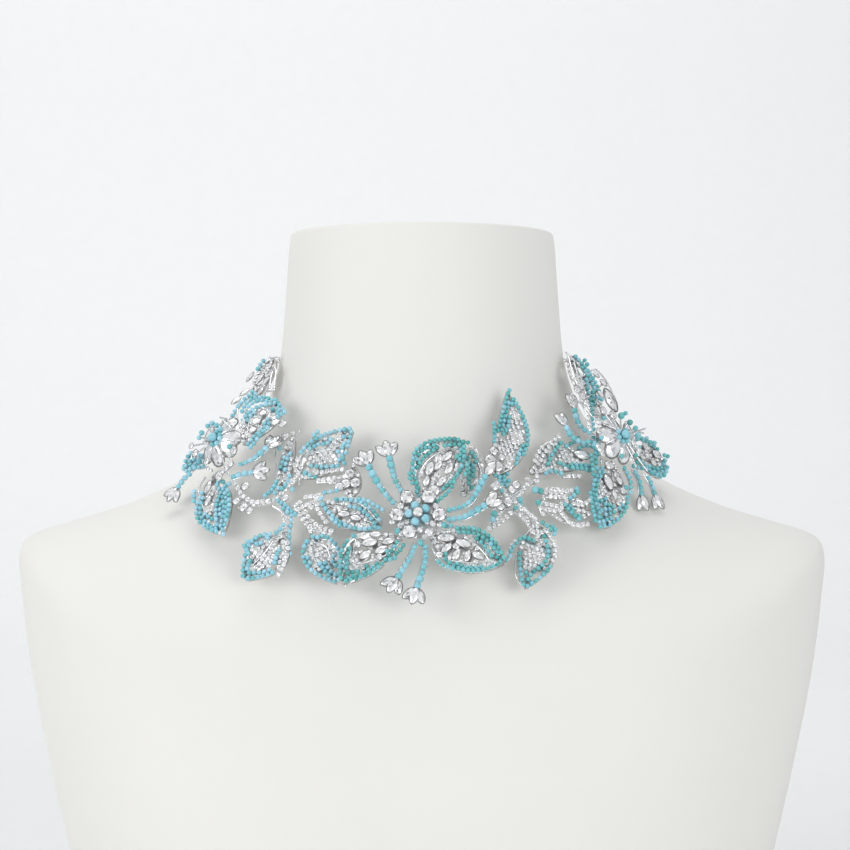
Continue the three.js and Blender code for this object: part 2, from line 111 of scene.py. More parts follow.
def ramp(nodes, links, source, stops):
    mapped = nodes.new("ShaderNodeValToRGB")
    while len(mapped.color_ramp.elements) < len(stops):
        mapped.color_ramp.elements.new(0.5)
    for element, (position, colour) in zip(mapped.color_ramp.elements, stops):
        element.position = position
        element.color = (*colour, 1.0)
    links.new(source, mapped.inputs["Fac"])
    return mapped.outputs["Color"]


def bump(nodes, links, source, strength, distance, shader):
    relief = nodes.new("ShaderNodeBump")
    relief.inputs["Strength"].default_value = strength
    relief.inputs["Distance"].default_value = distance
    links.new(source, relief.inputs["Height"])
    links.new(relief.outputs["Normal"], shader.inputs["Normal"])


def bust_paint():
    material, nodes, links, shader = new_material("bust_paint")
    mottle = noise(nodes, links, 9.0)
    tone = ramp(nodes, links, mottle, [(0.3, (0.815, 0.801, 0.762)), (0.7, (0.835, 0.821, 0.782))])
    links.new(tone, shader.inputs["Base Color"])
    bump(nodes, links, noise(nodes, links, 900.0), 0.12, 0.0002, shader)
    shader.inputs["Roughness"].default_value = 0.62
    shader.inputs["Specular IOR Level"].default_value = 0.3
    return material


def silver(name, low, high, roughness):
    material, nodes, links, shader = new_material(name)
    wear = noise(nodes, links, 160.0)
    tone = ramp(nodes, links, wear, [(0.35, low), (0.65, high)])
    links.new(tone, shader.inputs["Base Color"])
    shader.inputs["Metallic"].default_value = 1.0
    shader.inputs["Roughness"].default_value = roughness
    bump(nodes, links, noise(nodes, links, 700.0), 0.35, 0.0003, shader)
    return material


def crystal_painted_glints():
    """Clear cut glass over foil, with painted reflections: each facet gets a random grey, mostly bright and a
    few dark, standing in for the light and shade that the facet would reflect.
    """
    material, nodes, links, shader = new_material("crystal_painted_glints")
    # Painted reflections: the ramp turns each facet's random value into a dark, grey or near-white facet.
    tone = ramp(nodes, links, face_tint_and_glint(nodes), [
        (0.0, (0.30, 0.30, 0.30)), (0.12, (0.54, 0.54, 0.54)), (0.28, (0.84, 0.84, 0.84)),
        (0.6, (0.94, 0.94, 0.94)), (1.0, (0.98, 0.98, 0.98))])
    links.new(tone, shader.inputs["Base Color"])
    shader.inputs["Metallic"].default_value = 0.3
    shader.inputs["Roughness"].default_value = 0.08
    shader.inputs["Coat Weight"].default_value = 0.8
    shader.inputs["Coat Roughness"].default_value = 0.02
    return material


def turquoise():
    material, nodes, links, shader = new_material("turquoise_bead")
    tone = ramp(nodes, links, face_tint_and_glint(nodes), [
        (0.0, (0.08, 0.38, 0.37)), (0.25, (0.14, 0.51, 0.50)), (0.5, (0.19, 0.55, 0.60)),
        (0.75, (0.28, 0.62, 0.72)), (1.0, (0.41, 0.72, 0.84))])
    cloud = noise(nodes, links, 420.0, 5.0)
    shade = ramp(nodes, links, cloud, [(0.32, (0.72, 0.76, 0.76)), (0.5, (1.0, 1.0, 1.0))])
    mixed = nodes.new("ShaderNodeMixRGB")
    mixed.blend_type = "MULTIPLY"
    mixed.inputs["Fac"].default_value = 0.8
    links.new(tone, mixed.inputs["Color1"])
    links.new(shade, mixed.inputs["Color2"])
    links.new(mixed.outputs["Color"], shader.inputs["Base Color"])
    shader.inputs["Roughness"].default_value = 0.24
    shader.inputs["Coat Weight"].default_value = 0.35
    shader.inputs["Coat Roughness"].default_value = 0.1
    return material


PAINT = bust_paint()
# The first silver is the metal's own tone. The second is a darker copy, painted shade for the plates and the
# hub that lie low among the stones; the third is darker still, painted shade in the rings round the stones.
BRIGHT = silver("silver_bright", (0.78, 0.785, 0.79), (0.92, 0.92, 0.925), 0.2)
SHADED_SILVER = silver("silver_painted_shade", (0.54, 0.535, 0.53), (0.74, 0.735, 0.73), 0.34)
RING_SHADE_SILVER = silver("silver_ring_painted_shade", (0.26, 0.255, 0.25), (0.44, 0.435, 0.43), 0.3)
CRYSTAL = crystal_painted_glints()
TURQUOISE = turquoise()


# ---------- small shapes: vertices, triangles and the facet each triangle belongs to ----------
def ball(detail):
    mesh = bmesh.new()
    bmesh.ops.create_icosphere(mesh, subdivisions=detail, radius=1.0)
    points = np.array([v.co[:] for v in mesh.verts])
    faces = np.array([[v.index for v in f.verts] for f in mesh.faces])
    mesh.free()
    return points, faces, np.zeros(len(faces), int)


def round_outline(angle):
    return math.cos(angle), math.sin(angle)


def marquise_outline(angle):
    s = math.sin(angle)
    return math.cos(angle), 0.52 * math.copysign(abs(s) ** 1.35, s)


def pear_outline(angle):
    return -math.cos(angle), 0.62 * math.sin(angle) * (1 - 0.32 * math.cos(angle))


def faceted(outline, sides, table=0.58, crown=0.32, pavilion=0.42):
    """A cut stone of reach 1: a flat table seen as wedges, crown facets, a girdle and a blunt pavilion."""
    levels = [(0.3, -pavilion, 0.0), (1.0, -0.05, 0.0), (1.0, 0.05, 0.0), (0.84, crown * 0.6, 0.5),
              (table, crown, 0.0)]
    points = []
    for scale, height, turn in levels:
        for k in range(sides):
            x, y = outline((k + turn) / sides * 2 * math.pi)
            points.append((x * scale, y * scale, height))
    faces, facets = [], []
    for level in range(len(levels) - 1):
        for k in range(sides):
            a, b = level * sides + k, level * sides + (k + 1) % sides
            c, d = a + sides, b + sides
            if levels[level + 1][2]:
                faces += [(a, b, c), (b, d, c)]
            else:
                faces += [(a, b, d), (a, d, c)]
            facets += [2 * (level * sides + k), 2 * (level * sides + k) + (level > 1)]
    top = (len(levels) - 1) * sides
    middle = len(points)
    points += [(0.0, 0.0, crown), (0.0, 0.0, -pavilion)]
    for k in range(sides):
        after = (k + 1) % sides
        faces += [(middle, top + k, top + after), (middle + 1, after, k)]
        facets += [10 * sides + k // 2, 11 * sides]
    return np.array(points), np.array(faces), np.array(facets)


def collet(outline, sides, wire):
    """The ring of metal round a stone of reach 1."""
    points, faces, around, height = [], [], 5, 0.05
    for k in range(sides):
        x, y = outline(k / sides * 2 * math.pi)
        size = math.hypot(x, y)
        for m in range(around):
            turn = m / around * 2 * math.pi
            grow = 1 + wire * math.cos(turn) / max(size, 0.3)
            points.append((x * grow, y * grow, height + wire * math.sin(turn)))
    for k in range(sides):
        for m in range(around):
            a, b = k * around + m, k * around + (m + 1) % around
            c, d = (a + around) % len(points), (b + around) % len(points)
            faces += [(a, c, b), (b, c, d)]
    return np.array(points), np.array(faces), np.zeros(len(faces), int)


BEAD = ball(3)
GRAIN = ball(1)
ROUND_CUT = faceted(round_outline, 8)
BIG_CUT = faceted(round_outline, 16, table=0.6, crown=0.24, pavilion=0.5)
MARQUISE_CUT = faceted(marquise_outline, 12, table=0.5, crown=0.22, pavilion=0.34)
PEAR_CUT = faceted(pear_outline, 14, table=0.5, crown=0.22, pavilion=0.3)
ROUND_COLLET = collet(round_outline, 16, wire=0.1)
MARQUISE_COLLET = collet(marquise_outline, 16, wire=0.08)
PEAR_COLLET = collet(pear_outline, 16, wire=0.08)


class Pile:
    """Many small shapes joined into one mesh; every face carries a value from 0 to 1: a bead's tint, or on a
    stone a random value per facet that the crystal material paints as a reflection.
    """

    def __init__(self):
        self.points, self.faces, self.tints, self.total = [], [], [], 0

    def add(self, shape, at=(0, 0, 0), size=1.0, across=None, out=None, tint=None):
        """A value of None gives each facet its own random one, which on a stone becomes a painted reflection
        that makes it seem to sparkle.
        """
        points, faces, facets = shape
        local = points * size
        if out is not None:
            local = local @ basis(across, out)
        self.points.append(local + np.asarray(at))
        self.faces.append(faces + self.total)
        self.tints.append(rng.random(facets.max() + 1)[facets] if tint is None else np.full(len(faces), tint))
        self.total += len(points)

    def build(self, name, material, smooth, replaced=()):
        if not self.points:
            return
        mesh = bpy.data.meshes.new(name)
        mesh.from_pydata((np.concatenate(self.points) * MM).tolist(), [], np.concatenate(self.faces).tolist())
        attribute = mesh.attributes.new("tint", "FLOAT", "FACE")
        attribute.data.foreach_set("value", np.concatenate(self.tints).astype(np.float32))
        finish_piece(name, mesh, material, smooth, replaced)


def finish_piece(name, mesh, material, smooth, replaced=()):
    mesh.materials.append(material)
    mesh.polygons.foreach_set("use_smooth", [smooth] * len(mesh.polygons))
    mesh.validate()
    piece = bpy.data.objects.new(name, mesh)
    bpy.context.scene.collection.objects.link(piece)
    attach(piece, "root")
    if replaced:
        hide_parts(*replaced)


def unit(v):
    return v / np.linalg.norm(v)


def seed_size():
    return SEED * rng.uniform(0.92, 1.06)


def bead_tint(hue, spread):
    return float(np.clip(hue + rng.normal(0, spread), 0, 1))


def basis(across, out):
    """Rows are the x, y and z directions of a stone whose table looks along out."""
    z = unit(np.asarray(out, float))
    x = np.asarray(across, float)
    x = unit(x - z * x.dot(z))
    return np.array([x, np.cross(z, x), z])


def facing(azimuth, elevation):
    a, e = math.radians(azimuth), math.radians(elevation)
    return np.array([math.sin(a) * math.cos(e), -math.cos(a) * math.cos(e), math.sin(e)])


class Place:
    """A flower's own frame: x right, y up, z out."""

    def __init__(self, at, azimuth, elevation):
        self.at = np.array(at, float)
        out = facing(azimuth, elevation)
        right = np.array([math.cos(math.radians(azimuth)), math.sin(math.radians(azimuth)), 0.0])
        self.axes = np.array([right, np.cross(out, right), out])

    def point(self, p):
        return self.at + np.asarray(p, float) @ self.axes

    def direction(self, v):
        return np.asarray(v, float) @ self.axes


# ---------- wires ----------
def smooth_path(points, steps):
    """Centripetal Catmull-Rom points through a few given ones."""
    p = [np.asarray(q, float) for q in points]
    p = [2 * p[0] - p[1]] + p + [2 * p[-1] - p[-2]]
    path = []
    for i in range(1, len(p) - 2):
        knots = [0.0]
        for a, b in zip(p[i - 1:i + 2], p[i:i + 3]):
            knots.append(knots[-1] + math.sqrt(max(np.linalg.norm(b - a), 1e-6)))
        for t in np.linspace(knots[1], knots[2], steps, endpoint=False):
            a = [((knots[k + 1] - t) * p[i - 1 + k] + (t - knots[k]) * p[i + k]) / (knots[k + 1] - knots[k])
                 for k in range(3)]
            b = [((knots[k + 2] - t) * a[k] + (t - knots[k]) * a[k + 1]) / (knots[k + 2] - knots[k])
                 for k in range(2)]
            path.append(((knots[2] - t) * b[0] + (t - knots[1]) * b[1]) / (knots[2] - knots[1]))
    path.append(p[-2])
    return np.array(path)


def lengths(path):
    return np.concatenate([[0.0], np.cumsum(np.linalg.norm(np.diff(path, axis=0), axis=1))])


def front_lengths(path):
    """Distances along a path as they look from the front."""
    return lengths(path * (1.0, 0.0, 1.0))


def along(path, distance, run=None):
    """The point and direction at a distance along a path."""
    run = lengths(path) if run is None else run
    point = np.array([np.interp(distance, run, path[:, k]) for k in range(3)])
    ahead = np.array([np.interp(distance + 0.3, run, path[:, k]) for k in range(3)])
    behind = np.array([np.interp(distance - 0.3, run, path[:, k]) for k in range(3)])
    return point, unit(ahead - behind)


def tube(path, radius, sides=8, closed=False):
    """A round wire along a path."""
    count = len(path)
    points, across = [], None
    for i in range(count):
        ahead = path[(i + 1) % count] if closed or i < count - 1 else path[i]
        behind = path[i - 1] if closed or i else path[i]
        forward = unit(ahead - behind)
        if across is None:
            across = np.cross((0.31, -1.0, 0.27), forward)
        across = unit(across - forward * across.dot(forward))
        other = np.cross(forward, across)
        for k in range(sides):
            turn = k / sides * 2 * math.pi
            points.append(path[i] + radius * (across * math.cos(turn) + other * math.sin(turn)))
    faces = []
    for i in range(count if closed else count - 1):
        for k in range(sides):
            a, b = i * sides + k, i * sides + (k + 1) % sides
            c, d = ((i + 1) % count) * sides + k, ((i + 1) % count) * sides + (k + 1) % sides
            faces += [(a, b, d), (a, d, c)]
    if not closed:
        last = (count - 1) * sides
        for k in range(1, sides - 1):
            faces += [(0, k + 1, k), (last, last + k, last + k + 1)]
    return np.array(points), np.array(faces), np.zeros(len(faces), int)


# ---------- the bust ----------
BUST_SECTIONS = np.array([
    # side, side z, front, front z, back, back z, squareness
    (56.6, 322.5, 52.8, 322.5, 52.8, 322.5, 2), (59.2, 320.2, 55.4, 320.2, 55.4, 320.2, 2),
    (60.9, 298, 56.6, 294, 57.2, 298, 2), (63.2, 270, 58.2, 258, 60.5, 271, 2),
    (67, 254, 61, 236, 64.5, 256, 2), (74, 239, 66, 219, 70.5, 241, 2),
    (88, 225, 74, 204, 80, 225, 2), (109, 212, 83.5, 189, 90, 207, 2),
    (133, 201.5, 91.5, 173, 97, 187, 2.05), (157, 194, 97.5, 157, 101, 168, 2.15),
    (173, 189, 101, 144, 103, 152, 2.3), (178.3, 183, 103, 132, 104, 138, 2.4),
    (177.4, 167, 105, 116, 105, 120, 2.4), (172.5, 130, 106.5, 90, 105, 92, 2.4),
    (163.5, 85, 105.5, 58, 102.5, 58, 2.4), (155, 46, 103, 30, 99, 30, 2.4),
    (148, 0, 100, 0, 96, 0, 2.4)])


def bust_section(station):
    i = min(int(station), len(BUST_SECTIONS) - 2)
    f = station - i
    p, q, r, s = (BUST_SECTIONS[min(max(i + k, 0), len(BUST_SECTIONS) - 1)] for k in (-1, 0, 1, 2))
    return 0.5 * (2 * q + (r - p) * f + (2 * p - 5 * q + 4 * r - s) * f * f
                  + (3 * q - p - 3 * r + s) * f ** 3)


def neck_bust():
    around, per_section = 144, 8
    stations = np.linspace(0, len(BUST_SECTIONS) - 1, (len(BUST_SECTIONS) - 1) * per_section + 1)
    turn = np.arange(around) / around * 2 * math.pi
    c, s = np.cos(turn), np.sin(turn)
    points = []
    for station in stations:
        side, side_z, front, front_z, back, back_z, square = bust_section(station)
        reach = (np.abs(c) ** square + np.abs(s) ** square) ** (-1 / square)
        y = s * reach
        depth, dip = np.where(y > 0, front, back), np.where(y > 0, front_z, back_z)
        points.append(np.stack([side * c * reach, -depth * y, side_z + (dip - side_z) * y * y], axis=1))
    faces = []
    for i in range(len(stations) - 1):
        for k in range(around):
            a, b = i * around + k, i * around + (k + 1) % around
            faces.append((a, a + around, b + around, b))
    last = (len(stations) - 1) * around
    faces.append(tuple(range(around)))
    faces.append(tuple(range(last + around - 1, last - 1, -1)))
    mesh = bpy.data.meshes.new("bust_shell")
    mesh.from_pydata((np.concatenate(points) * MM).tolist(), [], faces)
    finish_piece("bust_shell", mesh, PAINT, True, ["neck_bust"])


# ---------- leaves and petals ----------
class Plate:
    """The curved plate of a leaf or petal: t runs from base to tip, s from the left edge to the right."""

    def __init__(self, row, peak, place=None):
        self.row = row
        self.base, tip = np.array(row["base"], float), np.array(row["tip"], float)
        if place:
            self.base, tip, out = place.point(self.base), place.point(tip), place.axes[2]
        else:
            out = facing(*row["face"])
        self.axis = tip - self.base
        forward = unit(self.axis)
        self.out = unit(out - forward * out.dot(forward))
        self.left = np.cross(self.out, forward)
        self.power = math.log(0.5) / math.log(peak)
        self.length = float(np.linalg.norm(self.axis))

    def fullness(self, t):
        return 0.1 + 0.9 * np.sin(math.pi * np.clip(t, 0, 1) ** self.power).clip(0) ** 0.85

    def half(self, t, side):
        return self.row["left" if side < 0 else "right"] * self.fullness(t)

    def point(self, t, s):
        middle = 4 * t * (1 - t)
        sideways = -s * self.half(t, s) + self.row.get("bend", 0) * middle
        outwards = self.row["cup"] * s * s * self.fullness(t)
        return self.base + self.axis * t + self.left * sideways + self.out * outwards

    def normal(self, t, s):
        t = min(max(t, 0.04), 0.96)
        step = 1e-3
        ahead = self.point(t + step, s) - self.point(t - step, s)
        across = self.point(t, s + step) - self.point(t, s - step)
        return unit(np.cross(across, ahead))


def fine_plate(name, plate):
    """The cast plate with its raised rim and midrib, cut through between them."""
    columns = [-1, -0.92, -0.78, -0.57, -0.36, -0.16, -0.08, 0, 0.08, 0.16, 0.36, 0.57, 0.78, 0.92, 1]
    raised = [0.5, 1, 0.4, 0, 0, 0.4, 0.9, 1, 0.9, 0.4, 0, 0, 0.4, 1, 0.5]
    bands, per_band = 7, 4
    steps = bands * per_band
    wide = len(columns)

    def solid(i, j):
        if not (0 <= i < steps and 0 <= j < wide - 1):
            return False
        band = i // per_band
        inner, outer = sorted((abs(columns[j]), abs(columns[j + 1])))
        return band % 2 == 0 or band == bands - 1 or inner < 0.15 or outer > 0.8

    points, faces = [], []
    for front in (True, False):
        for i in range(steps + 1):
            t = i / steps
            for s, lift in zip(columns, raised):
                height = PLATE / 2 + lift * RIM_RAISE if front else -PLATE / 2
                points.append(plate.point(t, s) + plate.normal(t, s) * height)
    back = (steps + 1) * wide
    for i in range(steps):
        for j in range(wide - 1):
            if not solid(i, j):
                continue
            a, b = i * wide + j, i * wide + j + 1
            c, d = b + wide, a + wide
            faces += [(a, b, c, d), (a + back, d + back, c + back, b + back)]
            borders = [(i - 1, j, b, a), (i + 1, j, d, c), (i, j - 1, a, d), (i, j + 1, c, b)]
            for row, column, first, last in borders:
                if not solid(row, column):
                    faces.append((first, last, last + back, first + back))
    mesh = bpy.data.meshes.new(f"{name}_plate")
    mesh.from_pydata((np.array(points) * MM).tolist(), [], faces)
    # The plate is built in the darker silver: painted shade, as it lies low under its beads and stones.
    finish_piece(f"{name}_plate", mesh, SHADED_SILVER, True, [name])


LEFT, RIGHT = -1, 1


class Sheet:
    """A flat carrier for strings; a and b are its place's own right and up, or the model's x and z."""

    def __init__(self, base, out, place):
        self.base, self.out, self.place = np.asarray(base, float), unit(np.asarray(out, float)), place

    def rest(self, a, b):
        """The point of the carrier seen at (a, b)."""
        start = self.place.point((a, b, 0))
        sight = self.place.axes[2]
        return start + sight * ((self.base - start).dot(self.out) / sight.dot(self.out))


class PlateSheet(Sheet):
    """The plane of a plate, raised at its sides as the plate is cupped."""

    def __init__(self, plate, place):
        super().__init__(plate.base, plate.out, place)
        self.plate = plate

    def rest(self, a, b):
        point = super().rest(a, b)
        plate = self.plate
        t = float(np.clip((point - plate.base).dot(plate.axis) / plate.length ** 2, 0, 1))
        sideways = -(point - plate.base).dot(plate.left) + plate.row.get("bend", 0) * 4 * t * (1 - t)
        s = float(np.clip(sideways / plate.half(t, RIGHT if sideways > 0 else LEFT), -1.2, 1.2))
        return point + self.out * plate.row["cup"] * s * s * plate.fullness(t)


class Dressing:
    """The beads, stones and bright wire on one carrier."""

    def __init__(self, name, sheet, hue):
        self.name, self.sheet, self.hue = name, sheet, hue
        self.beads, self.stones, self.metal, self.collets = Pile(), Pile(), Pile(), Pile()
        self.taken = []

    def free(self, at, size):
        return all(np.linalg.norm(at - other) > (size + reach) * CROWDING for other, reach in self.taken)

    def string(self, points, shift=0.0):
        """The smooth line of a string on the carrier, moved sideways by a shift."""
        flat = smooth_path([(a, b, 0) for a, b in points], 10)
        forward = np.gradient(flat, axis=0)
        forward /= np.linalg.norm(forward, axis=1)[:, None]
        flat = flat + np.stack([-forward[:, 1], forward[:, 0], forward[:, 2]], axis=1) * shift
        return np.array([self.sheet.rest(a, b) for a, b, _ in flat])

    def spots(self, line, pitch, start=0.0):
        run = front_lengths(line)
        count = max(int(round((run[-1] - start) / pitch)), 1)
        return [along(line, d, run) for d in np.linspace(start, run[-1], count + 1)]

    def under_wire(self, points, radius):
        self.metal.add(tube(self.string(points) + self.sheet.out * (BED - WIRE_SINK), radius, WIRE_SIDES))

    def bead_band(self, points, strands=1):
        """Seed beads on one string, or on several side by side."""
        self.under_wire(points, THREAD)
        for strand in range(strands):
            line = self.string(points, (strand - (strands - 1) / 2) * STRAND * SEED)
            for at, _ in self.spots(line, BEAD_PITCH * SEED, (strand % 2) * SEED):
                self.seat_bead(at, seed_size())

    def rim_line(self, plate, side, first, last, inset, height):
        """A line beside one edge of a plate and above it."""
        ts = np.linspace(first, last, 60)
        places = [(t, side * max(1 - inset / plate.half(t, side), 0.0)) for t in ts]
        return np.array([plate.point(t, s) + plate.normal(t, s) * height for t, s in places])

    def bead_rim(self, plate, side, first, last, strands):
        """Seed beads along the edge of a plate."""
        inset, height = RIM_BEADS
        for strand in range(strands):
            line = self.rim_line(plate, side, first, last, inset + strand * STRAND * SEED, height)
            for at, _ in self.spots(line, BEAD_PITCH * SEED, (strand % 2) * SEED):
                self.bead(at, seed_size())

    def crystal_rim(self, plate, side, inset, height):
        """Small stones along whatever is still bare of a plate's edge."""
        line = self.rim_line(plate, side, 0.03, 0.99, inset, height)
        for at, forward in self.spots(line, 2 * PAVE):
            self.crystal(at, PAVE * 0.95, forward)

    def seat_bead(self, at, size):
        """A bead seated on the carrier at a point."""
        self.bead(at + self.sheet.out * (BED + BEAD_SEAT + size * 0.7), size)

    def bead(self, at, size):
        if self.free(at, size):
            self.beads.add(BEAD, at, size, tint=bead_tint(self.hue, 0.2))
            self.taken.append((at, size))

    def crystal(self, at, size, across):
        """A small round stone with a grain of metal beside it."""
        if not self.free(at, size):
            return
        out = self.sheet.out
        self.stones.add(ROUND_CUT, at, size, across, unit(out + rng.normal(0, 0.12, 3)))
        side = unit(np.cross(out, across))
        corner = (side + unit(np.asarray(across, float))) * size * GRAIN_SPREAD
        self.metal.add(GRAIN, at + corner + out * 0.15, GRAIN_RADIUS)
        self.taken.append((at, size))

    def crystal_row(self, points):
        self.under_wire(points, ROW_WIRE)
        for at, forward in self.spots(self.string(points), 2 * PAVE):
            self.crystal(at + self.sheet.out * (BED + ROW_LIFT), PAVE, forward)

    def wire(self, points):
        self.metal.add(tube(self.string(points) + self.sheet.out * (BED + ROW_LIFT), 0.4, WIRE_SIDES))

    def cut_stone(self, a, b, turn, reach, cut, ring):
        """A large stone in its collet, turned anticlockwise from the carrier's right."""
        out, place = self.sheet.out, self.sheet.place
        angle = math.radians(turn)
        across = place.axes[0] * math.cos(angle) + place.axes[1] * math.sin(angle)
        across = unit(across - out * across.dot(out))
        at = self.sheet.rest(a, b) + out * (BED + CUT_LIFT)
        self.stones.add(cut, at, reach, across, unit(out + rng.normal(0, 0.06, 3)))
        self.collets.add(ring, at, reach, across, out)
        if cut is BIG_CUT:
            other = np.cross(out, across)
            for k in range(4):
                corner = across * math.cos(k * math.pi / 2) + other * math.sin(k * math.pi / 2)
                self.metal.add(GRAIN, at + corner * reach + out * 0.3, GRAIN_RADIUS)
        for end in (-0.55, 0.0, 0.55):
            self.taken.append((at + across * reach * end, reach * (0.95 if cut is BIG_CUT else 0.5)))

    def bare(self, a, b, reach):
        """A stretch of the plate that stays plain metal."""
        self.taken.append((self.sheet.rest(a, b) + self.sheet.out * BED, reach))

    def pave(self, plate):
        """Small stones over whatever is still bare on a plate."""
        pitch = 2.0 * PAVE
        rows = int(plate.length / (pitch * 0.87))
        for i in range(rows):
            t = 0.03 + 0.94 * i / max(rows - 1, 1)
            low, high = -plate.half(t, LEFT) + 0.5, plate.half(t, RIGHT) - 0.5
            offset = (i % 2) * pitch / 2
            for k in range(int(max(high - low - offset, 0) / pitch) + 1):
                across_mm = low + offset + k * pitch
                s = across_mm / plate.half(t, LEFT if across_mm < 0 else RIGHT)
                out = plate.normal(t, s)
                at = plate.point(t, s) + out * (BED + rng.uniform(0.3, 0.6))
                self.crystal(at, PAVE * rng.uniform(0.84, 1.0), plate.axis)

    def build(self):
        self.beads.build(f"{self.name}_beads", TURQUOISE, True)
        self.stones.build(f"{self.name}_stones", CRYSTAL, False)
        self.metal.build(f"{self.name}_settings", BRIGHT, True)
        # The rings round the stones are built in the darkest silver: painted shade round each stone.
        self.collets.build(f"{self.name}_collets", RING_SHADE_SILVER, True)


def dress(name, sheet, plate, look):
    dressing = Dressing(name, sheet, HUES[name.split("_")[0]])
    for row in look.get("marquises", []):
        dressing.cut_stone(*row, MARQUISE_CUT, MARQUISE_COLLET)
    for a, b, reach in look.get("rounds", []):
        dressing.cut_stone(a, b, 0, reach, BIG_CUT, ROUND_COLLET)
    for a, b, radius in look.get("single_beads", []):
        dressing.seat_bead(sheet.rest(a, b), radius)
    for row in look.get("rims", []):
        dressing.bead_rim(plate, *row)
    for points, strands in look.get("bands", []):
        dressing.bead_band(points, strands)
    for points in look.get("beads", []):
        dressing.bead_band(points)
    for points in look.get("crystals", []):
        dressing.crystal_row(points)
    for points in look.get("wires", []):
        dressing.wire(points)
    for side in look.get("edges", []):
        dressing.crystal_rim(plate, side, *EDGE_STONES)
    for row in look.get("bare", []):
        dressing.bare(*row)
    if plate:
        for side in (LEFT, RIGHT):
            dressing.crystal_rim(plate, side, *RIM_STONES)
        dressing.pave(plate)
    dressing.build()


PETAL_PEAK, LEAF_PEAK = 0.55, 0.42
FRONT = Place((-1.5, -92, 200), 0, 26)
RIGHT_FLOWER = Place((84, -46.5, 231.7), 42, 20)
LEFT_FLOWER = Place((-86.3, -46.5, 230.5), -42, 20)
SIGHT = Place((0, 0, 0), 0, 0)      # a is the model's x, b its z, seen from the front

# A plate runs from base to tip; left and right are its half widths, bend and cup how far its middle
# line and its edges are off the straight, and face the (azimuth, elevation) that it looks to.
# A front petal's places are in FRONT's own frame. On a plate or a cluster,
# beads, crystals and wires are lines of (a, b); bands are (line, strings side by side);
# rims are (side, first t, last t, strings); single_beads, rounds and bare are (a, b, radius);
# marquises are (a, b, turn in degrees, half length); edges are sides with stones on the edge itself.

